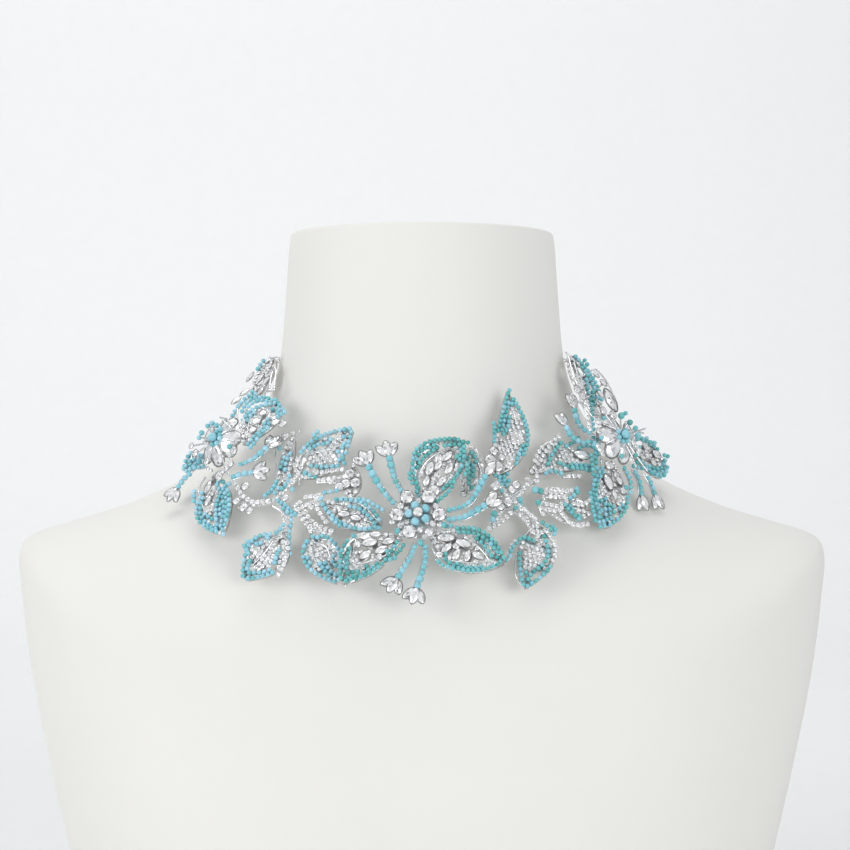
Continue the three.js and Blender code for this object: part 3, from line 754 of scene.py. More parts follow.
FRONT_PETALS = {
    "front_petal_upper": dict(
        base=(2.5, 6.5, -1.8), tip=(18, 33.2, 2), left=11.5, right=9.5, bend=2.5, cup=2.4,
        rims=[(LEFT, 0.12, 0.97, 2), (RIGHT, 0.1, 0.98, 1), (RIGHT, 0.7, 0.98, 2)],
        beads=[[(0.5, 9), (-1, 12.5), (-3, 16.5), (-2.5, 22), (0.5, 26.5), (5.5, 30), (8.5, 31.5)],
               [(-0.8, 19.5), (1.5, 24), (5, 27.5), (8, 29.5)],
               [(8.5, 31.5), (13.5, 32.3), (18, 33), (20.5, 31.5)], [(11, 30.5), (16.5, 31), (19, 29.5)],
               [(18, 28.5), (17, 25), (18.5, 22.5), (16, 16.5), (13, 10.5), (8, 6.5)],
               [(16.5, 27.5), (16, 24), (16.8, 21)], [(19.5, 23), (20.5, 19.5), (19.5, 17)]],
        wires=[[(1.5, 11), (0.3, 17), (2.5, 22.5), (7.5, 27), (12.5, 29), (15.5, 29)],
               [(15.5, 29), (14.8, 23.5), (13, 16.5), (9, 10.5)]],
        marquises=[(5, 21, 70, 3.2), (12, 26, 40, 3.0), (9.8, 15, 45, 2.8), (12.8, 20.5, 60, 2.8),
                   (3.5, 15.5, 75, 2.5), (8.2, 22, 50, 2.6)],
        rounds=[(6.5, 11, 2.4), (8.5, 25.5, 1.5)]),
    "front_petal_right": dict(
        base=(5, -7.5, -1.8), tip=(34.5, -20.5, 1), left=10, right=9.5, bend=-1.5, cup=2.4,
        rims=[(LEFT, 0.3, 0.98, 2), (RIGHT, 0.2, 0.96, 2)],
        beads=[[(11.5, -5), (16, -5.2), (20, -6), (24, -8), (27.5, -11.5), (31, -17.5), (33, -20.5)],
               [(22, -9.3), (25.8, -12.5), (29.5, -18)],
               [(7, -19), (10, -22.5), (15, -24.5), (20.5, -25.2), (26.5, -25.2)],
               [(12, -21), (17.5, -22.8), (23, -23.2), (28, -22.8), (33, -21.5)]],
        wires=[[(6, -10), (6, -15), (9, -19), (15, -20.5), (23, -21), (29, -20.5)],
               [(8, -6.5), (12, -6.8), (17, -7.3), (21, -10.8), (25, -14.5), (28.5, -19.5)]],
        marquises=[(11.5, -9.5, -5, 3.6), (18.5, -12.3, -25, 3.4), (15.5, -17.3, 60, 2.8),
                   (20, -17.8, 75, 2.6), (24.3, -17.8, -30, 2.8), (11.5, -14.2, 40, 2.8)],
        rounds=[(8.8, -17.5, 1.4), (15.5, -13.3, 1.4)]),
    "front_petal_left": dict(
        base=(-7, -8.5, -1.8), tip=(-30.5, -29, 1), left=8, right=10, bend=-2, cup=2.4,
        rims=[(LEFT, 0.1, 0.96, 2), (RIGHT, 0.6, 0.99, 1)],
        beads=[[(-6, -13), (-8.5, -17), (-12, -18.7), (-16, -21), (-20.5, -22.5)],
               [(-9.5, -19.5), (-13.5, -21.5), (-18, -23.5), (-23, -24.5), (-28, -25.5)],
               [(-26, -10), (-28, -12.5), (-27.5, -15.5), (-28.5, -18.5), (-28.5, -23), (-31, -27)],
               [(-27, -21.5), (-30, -24.5), (-31.5, -28)]],
        wires=[[(-25, -10.5), (-26, -17), (-25, -21), (-17, -19.6), (-10.5, -15.8), (-6.5, -10.5)],
               [(-29, -31.5), (-23, -27.5), (-18, -25.5)]],
        marquises=[(-19.5, -12, 15, 3.4), (-21, -17.3, 35, 3.0), (-14.8, -15, 30, 3.0),
                   (-12, -11, 20, 2.8), (-17, -8.5, 10, 2.4)],
        rounds=[(-24.3, -13, 1.5), (-15.5, -18.3, 1.3)]),
    "front_petal_flap": dict(
        base=(18.5, 12, -7), tip=(22, 32.5, -4), left=3.2, right=4.2, bend=-1.5, cup=-2.2,
        beads=[[(22, 30), (24, 27), (22.5, 24), (23, 21), (20.5, 18.5), (22, 15.5)],
               [(20.5, 28), (20.8, 24.5), (21, 21.5)]],
        wires=[[(24.5, 27), (26, 21), (25, 17), (22.5, 13)]]),
}
LEAVES = {
    "left_leaf_inner": dict(
        base=(-16.5, -89, 196), tip=(-41, -80, 205), face=(-8, 26), left=6.5, right=6, cup=1.4,
        rims=[(LEFT, 0.04, 0.96, 1), (RIGHT, 0.04, 0.8, 1)],
        beads=[[(-41, 206), (-39.5, 202), (-37.5, 199), (-35, 196.5), (-32, 194.5), (-29, 194)],
               [(-26, 195.2), (-21.5, 194), (-17, 194.5)], [(-33, 206.5), (-28, 206.2), (-23, 205)],
               [(-29, 203), (-25, 202), (-21.5, 199.5), (-19, 196.5)], [(-24, 200.3), (-20.5, 197)],
               [(-39.5, 208.5), (-34.5, 209)], [(-21, 204.5), (-15.5, 201.5)],
               [(-22, 202.5), (-17.5, 197.5)]],
        crystals=[[(-43, 206), (-41.8, 201), (-38.5, 196.5)], [(-38, 205), (-31, 204.3), (-26, 204)]],
        marquises=[(-31.5, 200, -10, 2.6), (-26.5, 198.5, -20, 2.4)]),
    "left_bud_leaf": dict(
        base=(-29, -79, 207), tip=(-28, -73, 220), face=(-10, 22), left=3.4, right=4, cup=0.8,
        rounds=[(-29.5, 216, 2.2), (-27, 212.5, 2.1), (-31, 212, 2.0), (-33.5, 210.5, 1.9)],
        crystals=[[(-37, 212.5), (-34, 211.5), (-31, 208.5)]]),
    "left_leaf_upper": dict(
        base=(-52, -67, 216), tip=(-29, -66, 235), face=(-14, 20), left=7, right=9.5, cup=1.6,
        rims=[(LEFT, 0.25, 0.99, 1), (RIGHT, 0.6, 0.98, 1)],
        beads=[[(-50, 223.5), (-48.5, 226), (-46, 228.5), (-43.5, 230.5), (-40.5, 230.5), (-38, 233),
                (-35, 233)],
               [(-45.5, 230.5), (-42.5, 233)],
               [(-46, 226.5), (-42, 228.5), (-39.5, 228.5), (-37.5, 230.5)],
               [(-32, 233.5), (-29.5, 235.5)], [(-32, 231.5), (-29.5, 233)],
               [(-29.5, 232), (-31, 229.5), (-34.5, 224.5), (-32, 222.5), (-31, 220)],
               [(-45.5, 219.5), (-40, 219), (-34, 219)], [(-48, 216.5), (-46, 215.5), (-43.5, 214.5)],
               [(-34, 222), (-33, 220)]],
        single_beads=[(-30.5, 224.5, 1.0), (-32.5, 227, 1.0), (-30, 227.5, 1.0)],
        crystals=[[(-43, 216.5), (-37, 217), (-32, 217.5)], [(-34, 231), (-32.5, 229)],
                  [(-42, 213), (-37, 213.5), (-31, 214.5)], [(-50, 219), (-48.5, 222)]],
        wires=[[(-50.5, 211.5), (-50, 217.5), (-48, 223), (-42, 226.5)],
               [(-43, 212), (-37, 212.3), (-31.5, 213)]]),
    "left_leaf_narrow": dict(
        base=(-58, -66, 209.5), tip=(-54, -53, 233), face=(-26, 24), left=4, right=3.2, cup=0.8,
        beads=[[(-54.5, 224), (-56, 221), (-56.5, 217.5)], [(-57, 222.5), (-58.5, 218.5)]],
        single_beads=[(-59, 226, 1.1)],
        rounds=[(-57, 231, 1.9), (-60, 229, 1.8)],
        wires=[[(-54.5, 222), (-53, 229.5), (-51, 234)], [(-61, 225.5), (-60.5, 220), (-59.5, 213.5)]]),
    "left_leaf_lower": dict(
        base=(-55.2, -86.2, 190.3), tip=(-71.5, -91, 174.5), face=(-16, 24), left=9, right=9.5, cup=1.2,
        rims=[(RIGHT, 0.12, 0.99, 1), (LEFT, 0.6, 0.97, 1)],
        beads=[[(-71.5, 186.5), (-69.5, 189), (-66, 190), (-61, 190.5), (-58, 193), (-56, 195.5)],
               [(-70, 184), (-71.5, 181), (-72.3, 178), (-71.5, 174.5)],
               [(-69.5, 176.5), (-65, 176.5), (-61, 177.5)], [(-57.5, 185.5), (-58.5, 183), (-59, 180.5)],
               [(-68.5, 187), (-65, 188.2)], [(-70.3, 178), (-69.3, 181)]],
        crystals=[[(-56, 189), (-55.2, 184), (-55.2, 179.5), (-57, 175.5)]],
        wires=[[(-60, 189.5), (-64, 184), (-69, 179)]]),
    "left_leaf_middle": dict(
        base=(-44.5, -87, 191.5), tip=(-33.5, -97.5, 173.5), face=(-6, 24), left=7, right=8, cup=1.2,
        rims=[(RIGHT, 0.05, 0.98, 1), (LEFT, 0.1, 0.98, 1)],
        beads=[[(-44, 191), (-41, 190.5), (-38, 190)], [(-36, 187.5), (-34, 185)],
               [(-46, 189), (-46.5, 185.5), (-45.3, 181.5), (-42, 177)],
               [(-33, 174), (-31, 173.3), (-29, 174.5)]],
        bands=[([(-40, 181), (-37.5, 177.5), (-35, 175.5)], 2),
               ([(-36.5, 182), (-33.5, 179), (-31.5, 176.5)], 3),
               ([(-31.5, 182), (-29.5, 178.5)], 2)],
        wires=[[(-43.5, 189), (-43.5, 184), (-42, 180)], [(-43.5, 189), (-38.5, 187), (-36.5, 183)]]),
    "right_leaf_upper": dict(
        base=(30, -75, 216), tip=(36, -57, 250), face=(14, 20), left=6, right=8.5, bend=-3, cup=1.8,
        rims=[(LEFT, 0.5, 0.99, 2), (RIGHT, 0.3, 0.98, 1)],
        beads=[[(36.5, 251), (36, 248.5), (36.5, 245), (34, 240.5), (33.5, 237.5), (32.5, 234.5),
                (30, 233)],
               [(38, 247), (36.5, 242), (36, 238.5), (35.5, 235.5), (33.5, 232.5)],
               [(29, 236), (29.3, 229)],
               [(38, 246), (39, 243), (41, 240.5), (42.8, 237.5)],
               [(44, 234), (43.5, 230.5), (41, 226.5), (39, 222), (38.5, 220)],
               [(44, 229), (42.5, 226.5), (41, 223)]],
        crystals=[[(29.5, 226), (28.5, 222), (28.5, 217)]],
        rounds=[(27.5, 221, 2.5), (31, 219, 2.2), (29, 225, 1.8), (32.5, 223, 1.5)]),
    "right_leaf_lower": dict(
        base=(48.5, -84, 195.5), tip=(41, -98, 171.5), face=(10, 24), left=8, right=7.5, bend=1, cup=1.4,
        rims=[(RIGHT, 0.55, 0.98, 1), (LEFT, 0.6, 0.98, 1)],
        beads=[[(49, 196.5), (51.5, 194.5), (53.5, 191.5)], [(52, 196), (54, 193.5)],
               [(45, 189.5), (40, 190.2), (37.5, 187.5), (35.5, 185.5), (35, 183), (33.5, 181.5)],
               [(49.5, 191), (50.5, 188), (50.5, 182.5), (48, 179.5), (43.5, 176), (41.5, 172.5)],
               [(39.5, 181.5), (39.2, 178.5), (39.5, 175), (40.5, 171.5)], [(41.5, 177), (42, 174)]],
        crystals=[[(50.5, 193), (53.5, 188), (53.5, 183)], [(44.5, 193), (47, 191.5)]],
        wires=[[(37.5, 184), (37, 179), (37.7, 175), (40.5, 171)]]),
    "right_leaf_pointed": dict(
        base=(68, -56, 221), tip=(45, -70, 217), face=(22, 30), left=5.5, right=9.5, bend=-2.5, cup=1.6,
        beads=[[(52, 220), (53, 222), (54.5, 224.5), (56.5, 227), (57.5, 228)],
               [(50.5, 215.5), (52, 216.5), (54, 216), (56.5, 215)],
               [(57, 220.2), (60, 218.5), (64, 217.3), (70, 217)],
               [(62, 219.3), (66, 218.8), (70, 218.8)],
               [(60, 227), (63.5, 228.5), (65.5, 230.5)],
               [(64, 225), (66, 226.5), (68.5, 227.3), (71.5, 227), (73.5, 225), (73, 222), (71, 220.5)],
               [(67, 228.5), (71, 229)]],
        crystals=[[(45, 217), (48.5, 221), (50.5, 224), (53.5, 228), (56.5, 230.5)],
                  [(57.5, 213.8), (64.5, 213.8)], [(47, 215), (46.5, 213)]],
        marquises=[(67, 223.3, 0, 4.0)]),
    "right_leaf_forked": dict(
        base=(69, -74, 200.5), tip=(57, -77, 204.5), face=(20, 28), left=5, right=4.5, cup=0.8,
        single_beads=[(45.8, 209.5, 1.5), (48, 209, 1.4), (47, 204.5, 1.2), (45.8, 205.7, 1.1)],
        beads=[[(60.5, 206), (63.5, 208)], [(61, 208), (63, 209.5)],
               [(58.5, 203.5), (60, 201), (62, 199), (63.5, 197.3)],
               [(60.5, 203), (62, 200.8), (64, 198.6)]],
        crystals=[[(50.5, 208.5), (55.5, 208.5), (61, 209)], [(50.5, 207), (56, 206.7), (60, 206.5)],
                  [(48, 202.5), (49, 200)], [(50.5, 204), (54, 203.2), (57, 202.5)],
                  [(56, 201.5), (58, 198.5), (60.5, 195.5), (64, 195), (67.5, 195.5)],
                  [(62, 204), (66, 203.5), (69, 205)], [(50, 202), (54, 201.2)]]),
}
SIDE_PETALS = {
    "right_petal_upper": dict(
        base=(78, -42, 236.5), tip=(66, -16, 267), face=(42, 14), left=7.5, right=7, bend=2, cup=1.4,
        rims=[(RIGHT, 0.35, 0.98, 2)],
        bands=[([(69.5, 265), (70.8, 260), (71.8, 255), (72.2, 250)], 2)],
        beads=[[(71.8, 249), (71.5, 245.5), (71.5, 239), (71.5, 234)], [(73.2, 250), (73.2, 244.5)]],
        rounds=[(74.7, 256.8, 1.7), (77.5, 253, 2.0), (76.3, 248.3, 2.0), (67.3, 252, 1.6),
                (68, 247.5, 1.6)],
        crystals=[[(64.5, 255.5), (65.5, 253), (66.5, 249.5), (67.5, 245.5), (69.5, 241.5), (70.5, 236)],
                  [(66.5, 256), (67.5, 251), (69, 247.5), (70, 242.5)]],
        wires=[[(75.5, 260), (79, 255), (82, 248), (83, 243)], [(62.5, 268), (64.5, 256), (66, 250)],
               [(75.5, 260), (70, 258)], [(83, 243), (77, 238)], [(74.7, 256.8), (70, 254)],
               [(77.5, 253), (71, 248)], [(76.3, 248.3), (72, 243)]],
        edges=[LEFT],
        bare=[(65.5, 261.5, 5)]),
    "right_petal_outer": dict(
        base=(90.5, -37, 223.5), tip=(106.3, -26, 219), face=(42, 34), left=8.5, right=9.5, cup=1.2,
        rims=[(RIGHT, 0.1, 0.97, 2), (LEFT, 0.2, 0.97, 1)],
        bands=[([(90, 219.3), (96, 217.3), (101, 216), (104.6, 218), (105.7, 222.5)], 2)],
        beads=[[(97, 214.5), (101, 213.8), (104.5, 215.5)], [(92, 229.5), (96, 229.3), (100, 227.5)]],
        rounds=[(96, 226.3, 2.1), (101.3, 223, 2.3), (99.5, 219.7, 1.7), (94.5, 222.3, 1.6)]),
    "right_petal_lower": dict(
        base=(80.5, -50, 221.5), tip=(75.5, -73, 194.5), face=(28, 24), left=8.5, right=9, cup=1.6,
        rims=[(RIGHT, 0.08, 0.97, 2), (LEFT, 0.35, 0.97, 1)],
        bands=[([(73, 231), (73.3, 227.5), (73.3, 224)], 2), ([(71.3, 223), (71, 214), (71.3, 207)], 2),
               ([(69, 207), (70, 202), (71.5, 197)], 2), ([(74, 205.5), (73.5, 200), (74.5, 194.5)], 3),
               ([(78, 203), (78.5, 197.5)], 2)],
        beads=[[(85, 217.5), (86.5, 213), (86.5, 209), (85, 204.5), (81.5, 201)]],
        wires=[[(74.8, 221.5), (74, 214), (74.3, 207), (77, 203.5)]],
        rounds=[(78.3, 219, 2.2), (83.5, 208, 1.5)],
        marquises=[(77.5, 212.3, 88, 4.0), (81.8, 213.5, 100, 3.4), (80, 206.7, 80, 2.6)]),
    "left_petal_upper": dict(
        base=(-75, -54.5, 228.5), tip=(-61, -42, 245.5), face=(-34, 18), left=9, right=8, cup=1.6,
        rims=[(LEFT, 0.4, 0.98, 2), (RIGHT, 0.72, 0.96, 2)],
        bands=[([(-75, 239), (-74, 242.8), (-71.3, 245.6), (-67.5, 246.8), (-64, 245.5)], 2),
               ([(-63.5, 245.3), (-61, 242.5), (-58.5, 239)], 3),
               ([(-66.5, 238.5), (-64.5, 235), (-67.5, 232), (-69.5, 229.5), (-72, 227)], 2)],
        wires=[[(-73.8, 230.5), (-73, 237), (-71, 241.5), (-67.5, 243), (-64, 241)],
               [(-78, 243.5), (-78, 235.5)]],
        rounds=[(-67.3, 240.8, 1.7), (-70, 237.3, 2.0), (-71.3, 233.7, 1.8), (-60.5, 235.3, 1.8),
                (-57.5, 234.5, 1.8)],
        beads=[[(-73, 250), (-75.5, 246.5), (-77.5, 243), (-79.5, 239.5), (-80.5, 236.5)],
               [(-71.5, 249), (-74, 245.5)]],
        marquises=[(-79, 245, 55, 2.8), (-76.3, 249.7, 50, 2.6)]),
    "left_petal_outer": dict(
        base=(-93.5, -40.5, 222.8), tip=(-102.3, -35, 217.5), face=(-42, 34), left=5, right=5.5, cup=1,
        rims=[(LEFT, 0.1, 0.97, 1), (RIGHT, 0.1, 0.97, 1)],
        beads=[[(-93.5, 223), (-96, 221.8), (-99, 220.5)], [(-92, 220.7), (-96, 219.5), (-100.5, 218.5)],
               [(-92, 218.5), (-96, 217.3), (-99.5, 216.2)]]),
    "left_petal_lower": dict(
        base=(-87, -51, 216), tip=(-82, -73.5, 192), face=(-28, 24), left=6.5, right=10.5, cup=1.4,
        rims=[(LEFT, 0.05, 0.98, 3), (RIGHT, 0.25, 0.97, 2)],
        beads=[[(-95, 207.5), (-94.3, 203), (-92.5, 199.5), (-90.5, 196.7), (-87, 195), (-84, 194.7)],
               [(-91.5, 201.5), (-89.7, 198.7), (-86.5, 197)], [(-84, 194), (-80.8, 191)]],
        bands=[([(-80.8, 211), (-81.8, 207), (-83.3, 202.5), (-82.8, 197)], 3)],
        wires=[[(-91, 214), (-93, 209.5), (-92.7, 205), (-90.5, 201)],
               [(-86, 213), (-86, 206), (-86.5, 200)]],
        rounds=[(-84.5, 214.7, 2.0)],
        marquises=[(-89.3, 209.5, 95, 3.2), (-88.8, 204, 85, 2.6)]),
    "left_petal_back": dict(
        base=(-70.5, -29, 247.5), tip=(-66.5, -9, 266.5), face=(-38, 8), left=7, right=6, cup=0.8,
        beads=[[(-69.5, 264.5), (-71, 261.5), (-72.3, 258.5)]],
        wires=[[(-62, 260), (-63, 251)], [(-64, 259.8), (-65.2, 251)], [(-61.5, 265.5), (-67, 266)],
               [(-62, 260), (-68, 260)], [(-63, 251), (-68, 250)]],
        marquises=[(-74.3, 256.5, 85, 2.8), (-70.3, 256, 85, 3.2), (-67, 255, 85, 3.0),
                   (-69.5, 250, 80, 2.6)],
        crystals=[[(-73.5, 252), (-67.5, 247.5)]],
        bare=[(-64, 262.7, 4), (-63.5, 256, 3)]),
}
CLUSTERS = {
    "right_spray": dict(
        at=(41, -75, 208), face=(18, 30),
        beads=[[(30, 215.5), (33, 214.5), (35, 216)], [(31.5, 213.2), (35.5, 213.2)],
               [(32.5, 211.5), (32.5, 207)], [(34.5, 211.5), (34.5, 209)], [(38, 202.3), (40.5, 203.5)]],
        single_beads=[(37.7, 204.5, 1.3), (40, 205.3, 1.3), (29, 200, 1.4), (28.3, 197.7, 1.3)],
        crystals=[[(37.5, 202), (34, 198.5), (30.5, 196), (27, 194.5)],
                  [(36, 203.5), (32, 200.5), (28, 196.5)],
                  [(38, 201), (41, 198.5), (43.5, 195.5), (44.5, 192)],
                  [(40, 202), (43, 199), (45.5, 195)], [(43.5, 214), (46, 212.5), (47.5, 213)]],
        rounds=[(29, 207, 2.3), (31.5, 203, 1.9), (38.5, 211.5, 1.8), (36.5, 209.5, 1.7),
                (29.5, 211, 1.9), (26.5, 205, 1.7), (35, 204.5, 2.0)],
        wires=[[(34, 205), (39, 208.5), (46, 212.5)], [(35, 206.5), (40, 210), (45, 213)],
               [(28, 201), (35, 205)], [(28.3, 196.5), (29, 200.5), (30.5, 204)]]),
    "left_spray": dict(
        at=(-56, -73, 206), face=(-18, 32),
        beads=[[(-60, 212.5), (-61, 210.5), (-62.5, 208.5), (-64.5, 207)], [(-59, 210), (-60.5, 208)],
               [(-54.5, 215), (-55.5, 212), (-57.5, 209.7)],
               [(-59, 205), (-56.5, 203.5), (-54, 201.5), (-51.5, 199.5)], [(-56.5, 201.7), (-53, 199)],
               [(-53, 197), (-53.5, 193), (-53.5, 188), (-53, 184)]],
        single_beads=[(-53, 209.5, 1.1), (-55, 207.3, 1.0)],
        crystals=[[(-77.5, 212), (-76, 209), (-73, 206), (-69, 204.3), (-66, 204.8), (-63.5, 205)],
                  [(-47.5, 206.5), (-44, 207), (-40, 207.5)], [(-47, 203.5), (-43.5, 202.5), (-40, 204)],
                  [(-51.5, 203.5), (-48.5, 198), (-44.5, 194.5), (-37, 192)],
                  [(-50, 204.5), (-46.8, 199.5), (-43.5, 196.2), (-36.5, 193.5)],
                  [(-53, 212.5), (-51, 216.5)], [(-52.5, 219.5), (-51.5, 222)]],
        rounds=[(-73.5, 202, 1.9), (-70.8, 200.5, 1.5), (-73.3, 210.5, 1.8), (-76.5, 204.5, 1.5),
                (-56, 206, 1.6)],
        wires=[[(-57, 203), (-55.5, 196), (-56.5, 191)], [(-61.5, 203), (-58, 201), (-52, 196)]]),
    "right_flower_heart": dict(
        at=(84.8, -47.4, 232), face=(42, 20),
        single_beads=[(84, 240.3, 1.5), (88, 237.5, 1.3), (91.3, 231.7, 1.5), (76, 239.3, 1.0),
                      (74.7, 231, 1.0), (83.5, 223.3, 1.1), (90, 223.5, 1.1), (90.5, 235, 1.2),
                      (86.3, 241.5, 1.0)],
        beads=[[(68.5, 229.5), (71, 228.3)], [(94, 230), (99, 228.7)]],
        rounds=[(76, 242.5, 1.7), (73.5, 238, 1.7), (80.3, 240.7, 1.9), (73.5, 234, 1.5),
                (64.3, 251.5, 1.8), (61.8, 248, 1.6), (67, 248.5, 1.7)],
        marquises=[(79.3, 247, 118, 5.6)],
        crystals=[[(89.5, 229), (92, 226)], [(73, 228), (75, 224.5)],
                  [(68.3, 246), (69.2, 240), (69.8, 235)]],
        wires=[[(85, 233), (88, 234.5), (94.5, 233)], [(85, 232.5), (88, 233), (95.5, 235)],
               [(90.3, 218.5), (88.5, 223), (86, 228)], [(95.6, 216.5), (91.5, 222), (87.5, 228)],
               [(64.3, 251.5), (67, 248.5), (70, 243)], [(61.8, 248), (67, 245), (71, 240)],
               [(84, 240.3), (84, 234)], [(88, 237.5), (85.5, 234)], [(91.3, 231.7), (86, 232)],
               [(76, 242.5), (80, 237)], [(80.3, 240.7), (82, 236)]]),
    "left_flower_heart": dict(
        at=(-87.1, -47.4, 230.8), face=(-42, 20),
        single_beads=[(-88.7, 237.2, 1.2), (-86.5, 236.3, 1.2), (-84.7, 234.7, 1.2), (-90.7, 236, 1.1),
                      (-93.3, 233, 1.2), (-94.5, 231, 1.1), (-80, 227.3, 1.2), (-97, 226.5, 1.0)],
        rounds=[(-96, 224.5, 1.6), (-90.5, 221, 1.6), (-84, 214.5, 1.6), (-78, 225.5, 1.7),
                (-98, 227.5, 1.4), (-79, 220.3, 1.5)],
        crystals=[[(-77, 235.5), (-74.5, 238)], [(-83, 217), (-79.5, 220)],
                  [(-91.5, 219), (-88.5, 217.5)]],
        wires=[[(-84, 238.5), (-80, 235.3)], [(-85.5, 239.8), (-81, 239)],
               [(-77.8, 220.3), (-82, 225)], [(-79.8, 215.3), (-82, 219), (-84, 225)],
               [(-96, 224.5), (-90, 228)], [(-98, 227.5), (-90, 229)],
               [(-90.7, 236), (-88, 232)], [(-94.5, 231), (-89, 231)]]),
}
for name, row in {**FRONT_PETALS, **LEAVES, **SIDE_PETALS}.items():
    own = FRONT if name in FRONT_PETALS else None
    plate = Plate(row, LEAF_PEAK if name in LEAVES else PETAL_PEAK, own)
    fine_plate(name, plate)
    dress(name, PlateSheet(plate, own or SIGHT), plate, row)
for name, row in CLUSTERS.items():
    dress(name, Sheet(row["at"], facing(*row["face"]), SIGHT), None, row)

# ---------- stamens ----------
# spray: stones at the end; large: big beads next to them, of radius big, before the smaller ones.
FRONT_STAMENS = {
    "front_stamen_upper_left": dict(
        start=(-9.4, 4.9, 1), over=(-14.5, 11, 1.5), end=(-20.8, 22.8, 1.5), spray=3, large=3, big=1.7),
    "front_stamen_upper": dict(
        start=(-6.6, 10.4, 1), over=(-9.4, 15.5, 1.8), end=(-12, 26.8, 1.5), spray=3, large=2, big=1.65),
    "front_stamen_lower": dict(
        start=(-0.8, -12.2, 1), over=(-3.2, -18.5, 1), end=(-8.6, -27.5, 0.5), spray=3, large=1, big=1.65),
    "front_stamen_bottom": dict(
        start=(3, -12.4, 1), over=(3, -19.5, 1), end=(-0.6, -31.8, 0.5), spray=3, large=2, big=1.6),
    "front_stamen_right_upper": dict(
        start=(11.6, 1.8, 1.8), over=(20, 4.6, 2.6), end=(28, 18, 2.2), spray=1, large=3, big=1.55),
    "front_stamen_right": dict(
        start=(11.8, -2.2, 2.2), over=(18, -1.6, 3), end=(28, 4.5, 2.4), spray=2, large=3, big=1.6),
}
SIDE_STAMENS = {
    "right_stamen_upper": dict(
        start=(73, -53.5, 232.5), over=(67.2, -53, 236.5), end=(64.6, -49, 244.5), spray=2, large=2, big=1.5),
    "right_stamen_inner": dict(
        start=(69, -59, 229), over=(63.5, -58.5, 231.8), end=(60.3, -56, 237), spray=2, large=2, big=1.5),
    "right_stamen_lower": dict(
        start=(90.3, -48, 218), over=(92.6, -49.3, 213), end=(93.2, -50.8, 206.5), spray=2, large=1, big=1.4),
    "right_stamen_outer": dict(
        start=(95.8, -44, 216), over=(98.2, -44, 211.8), end=(99.6, -46, 206.5), spray=2, large=1, big=1.4),
    "left_stamen_outer": dict(
        start=(-98, -43, 217.2), over=(-102, -42.5, 213.8), end=(-105, -43.5, 209.3),
        spray=3, large=2, big=1.3),
    "left_stamen_upper": dict(
        start=(-77.5, -61, 220), over=(-71, -61.5, 222.5), end=(-64.6, -58, 228),
        spray=3, large=2, big=1.65),
    "left_stamen_inner": dict(
        start=(-79.5, -61, 215), over=(-75.5, -62.5, 216.4), end=(-70, -63, 217.2),
        spray=3, large=3, big=1.4),
}
SPRAY_SPREAD = 42
SPRAY_STONE = 3.7
SPRAY_REACH = 0.75
SMALL_BEADS = (1.25, 1.2, 1.15)
STAMEN_FACES = {"left": (-35, 25), "right": (35, 25)}


def stamen(name, row, place, out):
    start, over, end = (place.point(row[key]) if place else np.array(row[key], float)
                        for key in ("start", "over", "end"))
    path = smooth_path([start, over, end], 14)
    total = lengths(path)[-1]
    wires, beads, stones, collets = Pile(), Pile(), Pile(), Pile()
    wires.add(tube(path, WIRE * 0.75))
    forward = unit(end - over)
    sideways = unit(np.cross(out, forward))
    wires.add(tube(path - sideways * 1.25 - out * 0.2, 0.32, 6))
    sizes = [row["big"] * 0.92] + [row["big"]] * (row["large"] - 1) + list(SMALL_BEADS) + [SEED * 1.1] * 20
    distance = total - sizes[0] - 0.2
    hue = STAMEN_HUES[name.split("_")[0]]
    for size, after in zip(sizes, sizes[1:]):
        if distance < 0.4:
            break
        at, _ = along(path, distance)
        beads.add(BEAD, at, size, tint=bead_tint(hue, 0.16))
        distance -= (size + after) * 0.98
    front = np.cross(forward, sideways)
    for i in range(row["spray"]):
        turn = math.radians((i - (row["spray"] - 1) / 2) * SPRAY_SPREAD)
        x = forward * math.cos(turn) + sideways * math.sin(turn)
        centre = end + x * SPRAY_STONE * SPRAY_REACH + front * 0.35 * (i % 2)
        stones.add(MARQUISE_CUT, centre, SPRAY_STONE, x, front)
        collets.add(MARQUISE_COLLET, centre, SPRAY_STONE, x, front)
    wires.build(f"{name}_wire", BRIGHT, True, [name])
    # The rings round the tip stones are built in the darkest silver: painted shade.
    collets.build(f"{name}_collets", RING_SHADE_SILVER, True, [name])
    beads.build(f"{name}_beads", TURQUOISE, True, [name])
    stones.build(f"{name}_tips", CRYSTAL, False, [name])


for name, row in FRONT_STAMENS.items():
    stamen(name, row, FRONT, FRONT.axes[2])
for name, row in SIDE_STAMENS.items():
    stamen(name, row, None, facing(*STAMEN_FACES[name.split("_")[0]]))


# ---------- flower centres ----------
def ring_point(place, radius, degrees, height):
    a = math.radians(degrees)
    return place.point((radius * math.cos(a), radius * math.sin(a), height))


ROUND_ANGLES = (357, 60, 121, 183, 246)
ROUND_RING, BEAD_RING = 8.6, 3.7
ROUND_PRONGS = 6
HUB_STONES = [      # angle, ring, radius of the small stones between the large ones
    (28, 8.2, 1.5), (90, 6.2, 1.3), (152, 8.0, 1.4), (214, 8.2, 1.5), (275, 6.6, 1.5), (300, 8.8, 1.7),
    (328, 7.0, 1.4), (335, 9.6, 1.2), (285, 9.8, 1.2), (150, 5.4, 1.0), (215, 5.4, 1.1), (10, 5.8, 1.0),
    (318, 4.9, 1.1), (262, 9.4, 1.2), (232, 10.4, 1.3), (196, 10.8, 1.2)]
HUB_BEADS = [(275, 12.2, 1.4), (221, 10.8, 1.3), (337, 11.4, 1.3)]


